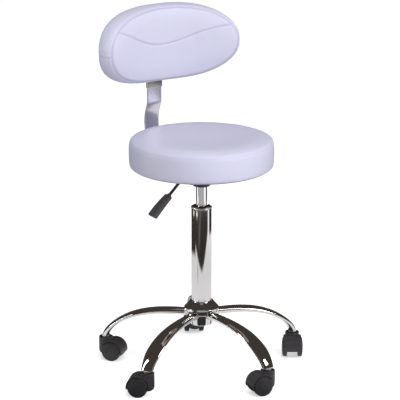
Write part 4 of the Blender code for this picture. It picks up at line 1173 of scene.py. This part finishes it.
# ---------------------------------------------------------------- back pad
class PadForm:
    """The pad's form in numbers.  Its outline is |x/W|^p + |z/H|^p = 1 with its own height and power above
    and below the middle, the lower edge lifts by a bell curve, and depth d forward of the rear face is bent
    back by x^2 / 2R, with R going from the rear's radius to the front's."""

    def __init__(self, settings):
        low, high = reach("backrest_pad")
        self.half, self.thick = 0.5 * (high[0] - low[0]), 0.0595
        self.middle, self.rise, self.drop = 0.7949, high[2] - 0.7949, 0.1025
        self.rear_y = high[1]
        self.bends = 1 / settings.rear_wrap, 1 / settings.front_wrap

    def powers(self, share, above):
        return np.where(above, 2.16, 2.05) + (1 - share) * 0.40

    def bend(self, share):
        return (1 - share) * self.bends[0] + share * self.bends[1]

    def ring(self, scale, depth, count=160, inset=0.0):
        """Points round the outline at one scale and one depth."""
        t = np.linspace(0, 2 * np.pi, count, endpoint=False)
        c, s = np.cos(t), np.sin(t)
        share = depth / self.thick
        power = self.powers(share, s > 0)
        height = np.where(s > 0, self.rise, self.drop) - inset
        x = scale * (self.half - inset) * signed_power(c, 2 / power)
        z = self.middle + scale * height * signed_power(s, 2 / power)
        z = z + np.where(s < 0, scale * 0.0092 * np.exp(-(x / 0.100) ** 2), 0)
        return np.stack([x, self.rear_y - depth - self.bend(share) * x * x / 2, z], 1)

    def measure(self, places):
        """Scale and depth of any places, the other way round from ring()."""
        x, y, z = places.T
        depth = self.rear_y - y - self.bend(0.5) * x * x / 2
        share = np.clip(depth / self.thick, 0, 1)
        depth = self.rear_y - y - self.bend(share) * x * x / 2
        share = np.clip(depth / self.thick, 0, 1)
        above = z > self.middle
        z0 = z - self.middle - np.where(above, 0, 0.0092 * np.exp(-(x / 0.100) ** 2))
        power = self.powers(share, above)
        height = np.where(above, self.rise, self.drop)
        scale = (np.abs(x / self.half) ** power + np.abs(z0 / height) ** power) ** (1 / power)
        return scale, depth


def wave_height(x, depth_scale):
    """Height of the wavy seam over its lowest point: A sin^2(pi/2 * |x - x0| / L), steeper on the left."""
    left = 1.38 * depth_scale * np.sin(np.pi / 2 * np.clip((-0.016 - x) / 0.185, 0, 1)) ** 2
    right = 0.86 * depth_scale * np.sin(np.pi / 2 * np.clip((x + 0.016) / 0.180, 0, 1)) ** 2
    return left + right


class STOOL_OT_back(StoolOperator):
    """Curved back pad in vinyl: front panel with a wavy seam, side band, and a flat panel behind"""
    bl_idname = "stool.back"
    bl_label = "Back pad"

    def build(self, scene):
        settings = scene.stool_back
        form = PadForm(settings)
        thick = form.thick
        steps = [(0.10, 0.0050), (0.40, 0.0045), (0.70, 0.0035), (0.88, 0.0020), (0.955, 0.0008),
                 (0.980, 0.0012), (0.994, 0.0045), (1.002, 0.010), (1.006, 0.018), (1.006, 0.028),
                 (0.998, 0.037), (0.982, 0.0445), (0.957, 0.0503), (0.922, 0.0547), (0.87, thick - 0.0024),
                 (0.79, thick - 0.0010), (0.62, thick - 0.0004), (0.40, thick - 0.0002), (0.15, thick - 0.0002)]
        rings = np.array([form.ring(scale, depth, inset=0.0004) for scale, depth in steps])
        pad = add_piece("back_pad_cover", [skin(rings)], vinyl(), "back", ["backrest_pad", "backrest_board"])

        def held(p):
            scale, depth = form.measure(p)
            rear = (depth < 0.012) & (scale < 0.97)
            return rear | ((np.abs(scale - 0.945) < 0.010) & (depth > 0.040))

        def flat(p):
            scale, depth = form.measure(p)
            return (scale < 0.86) & (depth > 0.040)

        blow_up(pad, 0.0042, settings.puff, held, flat)
        places = places_of(pad.data) - COLUMN
        scale, depth = form.measure(places)
        x, z = places[:, 0], places[:, 2]
        reach_out = 0.5 * (form.half + form.rise) * 0.75
        front = depth > 0.030
        far = np.full(len(x), 1.0)
        to_front_seam = np.where(front, np.abs(scale - 0.945) * reach_out, far)
        to_rear_seam = np.where(front, far, np.hypot((scale - 0.990) * reach_out, depth - 0.0085))
        wave = 0.799 + wave_height(x, settings.wave_depth)
        step = 0.002
        ahead, behind = (wave_height(x + k, settings.wave_depth) for k in (step, -step))
        slope = (ahead - behind) / (2 * step)
        to_wave = np.where((depth > 0.042) & (scale < 0.95), np.abs(z - wave) / np.sqrt(1 + slope ** 2), far)
        end_seam = np.where((scale > 0.95) & (np.abs(x) > 0.12) & (depth < 0.05), np.abs(z - 0.790), far)
        around = np.arctan2((z - form.middle) / form.rise, x / form.half) * 0.5 * (form.half + form.rise)
        press_seams(pad, [(to_front_seam, 0.0019, 0.0022, 0.00022), (to_rear_seam, 0.0014, 0.0022, 0.00015),
                          (end_seam, 0.0009, 0.0018, 0.0)], around)
        press_seams(pad, [(to_wave, 0.0019, 0.0022, 0.00020)], x)
        pad.data.materials.clear()
        pad.data.materials.append(vinyl())

        # panel behind: follows the rear face from the middle to 0.90 of the outline, with a rolled edge
        lift = [(0.05, 0.0004), (0.50, 0.0004), (0.84, 0.0004), (0.875, 0.0006), (0.886, 0.0014),
                (0.886, 0.0040), (0.860, 0.0062), (0.50, 0.0066), (0.05, 0.0066)]
        panel = skin(np.array([form.ring(k, d) for k, d in lift]))
        add_piece("back_panel", [panel], vinyl(), "back")
        edge = form.ring(0.872, 0.0003, 420)
        sewn = stitches(np.vstack([edge, edge[:1]]), np.tile((0.0, 1.0, 0.0), (421, 1)), 0.0052, 0.0034)
        add_piece("back_panel_stitches", [sewn], thread(), "back")


# ---------------------------------------------------------------- floor, camera and light
def smooth_step(value, low, high):
    """0 below low, 1 above high, and u^2 (3 - 2u) between them."""
    u = np.clip((value - low) / (high - low), 0, 1)
    return u * u * (3 - 2 * u)


def between(value, first, last, soft):
    """1 inside a band and 0 outside it, with soft edges."""
    return smooth_step(value, first - soft, first + soft) * (1 - smooth_step(value, last - soft, last + soft))


def studio_glow(angle, r):
    """Painted reflections: the brightness of a glowing ring that stands in for the studio round the stool, as
    bright
    metal sees it: angle in degrees from straight behind the camera towards its right, and distance r from the
    column.  A pale floor near the stool gives way to dark studio beyond an edge that lies nearest at 4 degrees
    and recedes as |angle - 4|^1.5, with white strips between the dark parts, two painted lamp glints and a
    dark patch between the column and the camera, close to the column."""
    off = angle - 4
    edge = 0.822 + np.where(off > 0, 0.38, 0.23) * (np.abs(off) / 70) ** 1.5
    middle = between(angle, -92, 76, 3) * smooth_step(r, edge - 0.012, edge + 0.035)
    left = between(angle, -181, -71, 3) * smooth_step(r, 0.95, 1.02)
    right = between(angle, 97, 181, 3) * smooth_step(r, 1.15, 1.22)
    dark = np.maximum(np.maximum(middle, left), right) * (1 - smooth_step(r, 1.49, 1.52))
    olive = np.exp(-((angle + 24 - 30 * (r - 1.2)) / 11) ** 2) * smooth_step(r, 0.95, 1.2)
    # painted lamp glints: two glowing spots on the ring that the metal mirrors as small lamps
    painted_lamp_glints = (np.exp(-((angle + 99) / 5.0) ** 2 - ((r - 1.418) / 0.017) ** 2)
             + np.exp(-((angle + 53) / 6.0) ** 2 - ((r - 1.418) / 0.017) ** 2))
    beyond_near = smooth_step(r, 1.50, 1.53)
    far_dark = np.maximum(between(angle, -181, -103, 4), between(angle, 98, 181, 4)) * beyond_near
    far_grey = between(angle, -66, 53, 5) * beyond_near * (1 - smooth_step(r, 2.0, 2.1))
    beyond = between(angle, -66, 80, 6) * smooth_step(r, 2.02, 2.15)
    # painted shade: a dark patch in the reflections between the column and the camera, close to the column
    under = between(angle, -40, 40, 5) * between(r, 0.125, 0.55, 0.015)
    bar_field = between(angle, 46, 92, 5) * smooth_step(r, 1.80, 1.95)
    brown = np.exp(-((angle + 44) / 5) ** 2) * between(r, 0.74, 0.90, 0.05)
    rims = smooth_step(np.abs(angle), 138, 168) * (1 - smooth_step(r, 1.1, 1.2))
    bright = 0.80 - 0.10 * np.abs(np.sin(np.radians(angle) * 9)) * np.exp(-((r - 0.85) / 0.22) ** 2)
    bright = np.where(r > 1.0, np.minimum(bright + 0.5 * (r - 1.0), 1.1), bright)
    bright = bright * (1 - 0.45 * brown) * (1 - 0.55 * rims)
    shade = 1 - ((1 - 0.96 * dark) * (1 - 0.93 * far_dark) * (1 - 0.62 * far_grey) * (1 - 0.90 * beyond)
                 * (1 - 0.97 * under))
    glow = np.maximum(bright * (1 - shade), 0.030) + 4.0 * painted_lamp_glints + 0.085 * olive * dark
    glow = glow * (1 - bar_field) + (0.44 - 0.37 * smooth_step(r, 2.78, 2.86)) * bar_field
    warm = np.maximum(dark, 0.8 * brown)
    tint = np.stack([np.ones_like(glow), 0.985 - 0.08 * warm, 0.985 - 0.20 * warm], -1)
    return glow[..., None] * tint


def add_glow(scene):
    """A glowing ring just over the floor that only mirrors see, painting reflections into bright metal; its
    glow is studio_glow on a polar grid.
    """
    angles, radii = np.linspace(-180, 180, 361), np.linspace(0.10, 4.2, 316)
    angle, r = np.meshgrid(angles, radii, indexing="ij")
    t = np.radians(angle) - scene.stool_stage.heading - np.pi / 2
    places = np.stack([r * np.cos(t), r * np.sin(t), np.full_like(r, 0.0006)], -1).reshape(-1, 3) + COLUMN
    index = np.arange(angle.size).reshape(angle.shape)
    faces = np.stack([index[:-1, :-1], index[:-1, 1:], index[1:, 1:], index[1:, :-1]], -1).reshape(-1, 4)
    mesh = bpy.data.meshes.new("studio_glow")
    mesh.from_pydata(places, [], faces.tolist())
    colours = np.ones((angle.size, 4), np.float32)
    colours[:, :3] = np.clip(studio_glow(angle, r), 0, 6).reshape(-1, 3)
    glow = mesh.attributes.new("glow", "FLOAT_COLOR", "POINT")
    glow.data.foreach_set("color", colours.ravel())
    material = bpy.data.materials.new("Studio glow")
    material.use_nodes = True
    shader = material.node_tree.nodes["Principled BSDF"]
    shader.inputs["Base Color"].default_value = (0, 0, 0, 1)
    shader.inputs["Specular IOR Level"].default_value = 0
    shader.inputs["Emission Strength"].default_value = 1
    reader = material.node_tree.nodes.new("ShaderNodeAttribute")
    reader.attribute_name = "glow"
    material.node_tree.links.new(reader.outputs["Color"], shader.inputs["Emission Color"])
    mesh.materials.append(material)
    ring = bpy.data.objects.new("studio_glow", mesh)
    scene.collection.objects.link(ring)
    ring.visible_camera = ring.visible_diffuse = ring.visible_shadow = False
    ring.visible_transmission = ring.visible_volume_scatter = False


def add_softbox(name, place, aim, size, power, spread):
    lamp = bpy.data.lights.new(name, "AREA")
    lamp.shape, lamp.size, lamp.size_y = "RECTANGLE", size[0], size[1]
    lamp.energy, lamp.spread = power, spread
    made = bpy.data.objects.new(name, lamp)
    bpy.context.scene.collection.objects.link(made)
    made.location = place
    made.rotation_euler = (Vector(aim) - Vector(place)).to_track_quat("-Z", "Y").to_euler()
    return made


class STOOL_OT_stage(StoolOperator):
    """Pale floor, soft studio light and the camera"""
    bl_idname = "stool.stage"
    bl_label = "Stage"

    def build(self, scene):
        stage = scene.stool_stage
        floor_mesh = bpy.data.meshes.new("studio_floor")
        n = 9.0
        floor_mesh.from_pydata([(-n, -n, 0), (n, -n, 0), (n, n, 0), (-n, n, 0)], [], [(0, 1, 2, 3)])
        floor = bpy.data.objects.new("studio_floor", floor_mesh)
        scene.collection.objects.link(floor)
        paint = Finish("Studio floor", Specular_IOR_Level=0.0)
        paint.roughness(3, 0.85, 0.95)
        paint.colour(tuple(stage.floor))
        paint.shader.inputs["Emission Color"].default_value = (1, 1, 1, 1)
        paint.shader.inputs["Emission Strength"].default_value = 0.46
        floor_mesh.materials.append(paint.material)
        floor.visible_diffuse = False

        world = bpy.data.worlds.new("studio")
        scene.world = world
        world.use_nodes = True
        tree = world.node_tree
        tree.nodes.clear()
        out = tree.nodes.new("ShaderNodeOutputWorld")
        mix = tree.nodes.new("ShaderNodeMixShader")
        bright, dim = tree.nodes.new("ShaderNodeBackground"), tree.nodes.new("ShaderNodeBackground")
        bright.inputs["Color"].default_value = (1, 1, 1, 1)
        bright.inputs["Strength"].default_value = 0.55
        dim.inputs["Color"].default_value = (0.052, 0.043, 0.036, 1)
        seen = tree.nodes.new("ShaderNodeBackground")
        seen.inputs["Color"].default_value = (1, 1, 1, 1)
        path = tree.nodes.new("ShaderNodeLightPath")
        tree.links.new(path.outputs["Is Glossy Ray"], mix.inputs["Fac"])
        tree.links.new(bright.outputs["Background"], mix.inputs[1])
        tree.links.new(dim.outputs["Background"], mix.inputs[2])
        second = tree.nodes.new("ShaderNodeMixShader")
        tree.links.new(path.outputs["Is Camera Ray"], second.inputs["Fac"])
        tree.links.new(mix.outputs["Shader"], second.inputs[1])
        tree.links.new(seen.outputs["Background"], second.inputs[2])
        tree.links.new(second.outputs["Shader"], out.inputs["Surface"])

        add_glow(scene)

        a, p, d = stage.heading, stage.tilt, stage.distance
        sin_a, cos_a = math.sin(a), math.cos(a)
        camera_data = bpy.data.cameras.new("camera")
        camera_data.lens, camera_data.sensor_width, camera_data.shift_x = stage.lens, 36, stage.side_shift
        camera = bpy.data.objects.new("camera", camera_data)
        scene.collection.objects.link(camera)
        camera.location = (COLUMN[0] - d * sin_a, COLUMN[1] - d * cos_a, stage.height)
        look = Vector((sin_a * math.cos(p), cos_a * math.cos(p), -math.sin(p)))
        camera.rotation_euler = look.to_track_quat("-Z", "Y").to_euler()
        scene.camera = camera

        right = np.array([cos_a, -sin_a, 0])
        back = np.array([-sin_a, -cos_a, 0])
        # each lamp: metres to the camera's right, back towards it and up; where it aims; size; watts; spread;
        # and the kinds of ray that can't see it
        aim = COLUMN + (0, 0, 0.55)
        wide, narrow = math.radians(160), math.radians(100)
        for name, (side, behind, up), target, size, power, spread, unseen in (
                ("key_softbox", (3.0, 1.5, 2.4), aim, (1.6, 1.6), 44, wide, ()),
                ("top_softbox", (0.4, 1.1, 2.9), aim, (1.4, 1.4), 20, wide, ("glossy",)),
                ("front_fill", (0.45, 1.5, 0.52), COLUMN + (0, 0, 0.50), (0.9, 0.5), 5.2, wide,
                 ("camera", "glossy")),
                ("band_light", (-0.62, 0.10, 0.98), COLUMN + (-0.17, 0.13, 0.80), (0.25, 0.25), 0.19, narrow,
                 ("camera", "glossy")),
                ("left_strip", (-2.3, 0.4, 1.3), aim, (0.35, 2.0), 12, wide, ("diffuse",))):
            place = COLUMN + right * side + back * behind + (0, 0, up)
            lamp = add_softbox(name, place, target, size, power, spread)
            for kind in unseen:
                setattr(lamp, "visible_" + kind, False)
        scene.view_settings.view_transform = "Standard"


# ---------------------------------------------------------------- panel and registration
BUILDERS = (STOOL_OT_column, STOOL_OT_cover, STOOL_OT_legs, STOOL_OT_castors, STOOL_OT_lift, STOOL_OT_lever,
            STOOL_OT_bar, STOOL_OT_back, STOOL_OT_seat, STOOL_OT_stage)
SETTINGS = (("stool_finishes", StoolFinishes), ("stool_base", StoolBase), ("stool_seat", StoolSeat),
            ("stool_back", StoolBack), ("stool_stage", StoolStage))


class STOOL_PT_panel(Panel):
    """Buttons and sizes of the stool"""
    bl_idname = "STOOL_PT_panel"
    bl_label = "Pedicure stool"
    bl_space_type = "VIEW_3D"
    bl_region_type = "UI"
    bl_category = "Stool"

    def draw(self, context):
        for name, group in SETTINGS:
            box = self.layout.box()
            for key in group.__annotations__:
                box.prop(getattr(context.scene, name), key)
        for builder in BUILDERS:
            self.layout.operator(builder.bl_idname)


def register():
    for name, group in SETTINGS:
        bpy.utils.register_class(group)
        setattr(bpy.types.Scene, name, PointerProperty(type=group))
    for builder in BUILDERS:
        bpy.utils.register_class(builder)
    bpy.utils.register_class(STOOL_PT_panel)


def unregister():
    bpy.utils.unregister_class(STOOL_PT_panel)
    for builder in reversed(BUILDERS):
        bpy.utils.unregister_class(builder)
    for name, group in reversed(SETTINGS):
        delattr(bpy.types.Scene, name)
        bpy.utils.unregister_class(group)


def main():
    register()
    for builder in BUILDERS:
        area, action = builder.bl_idname.split(".")
        getattr(getattr(bpy.ops, area), action)()


if __name__ == "__main__":
    main()
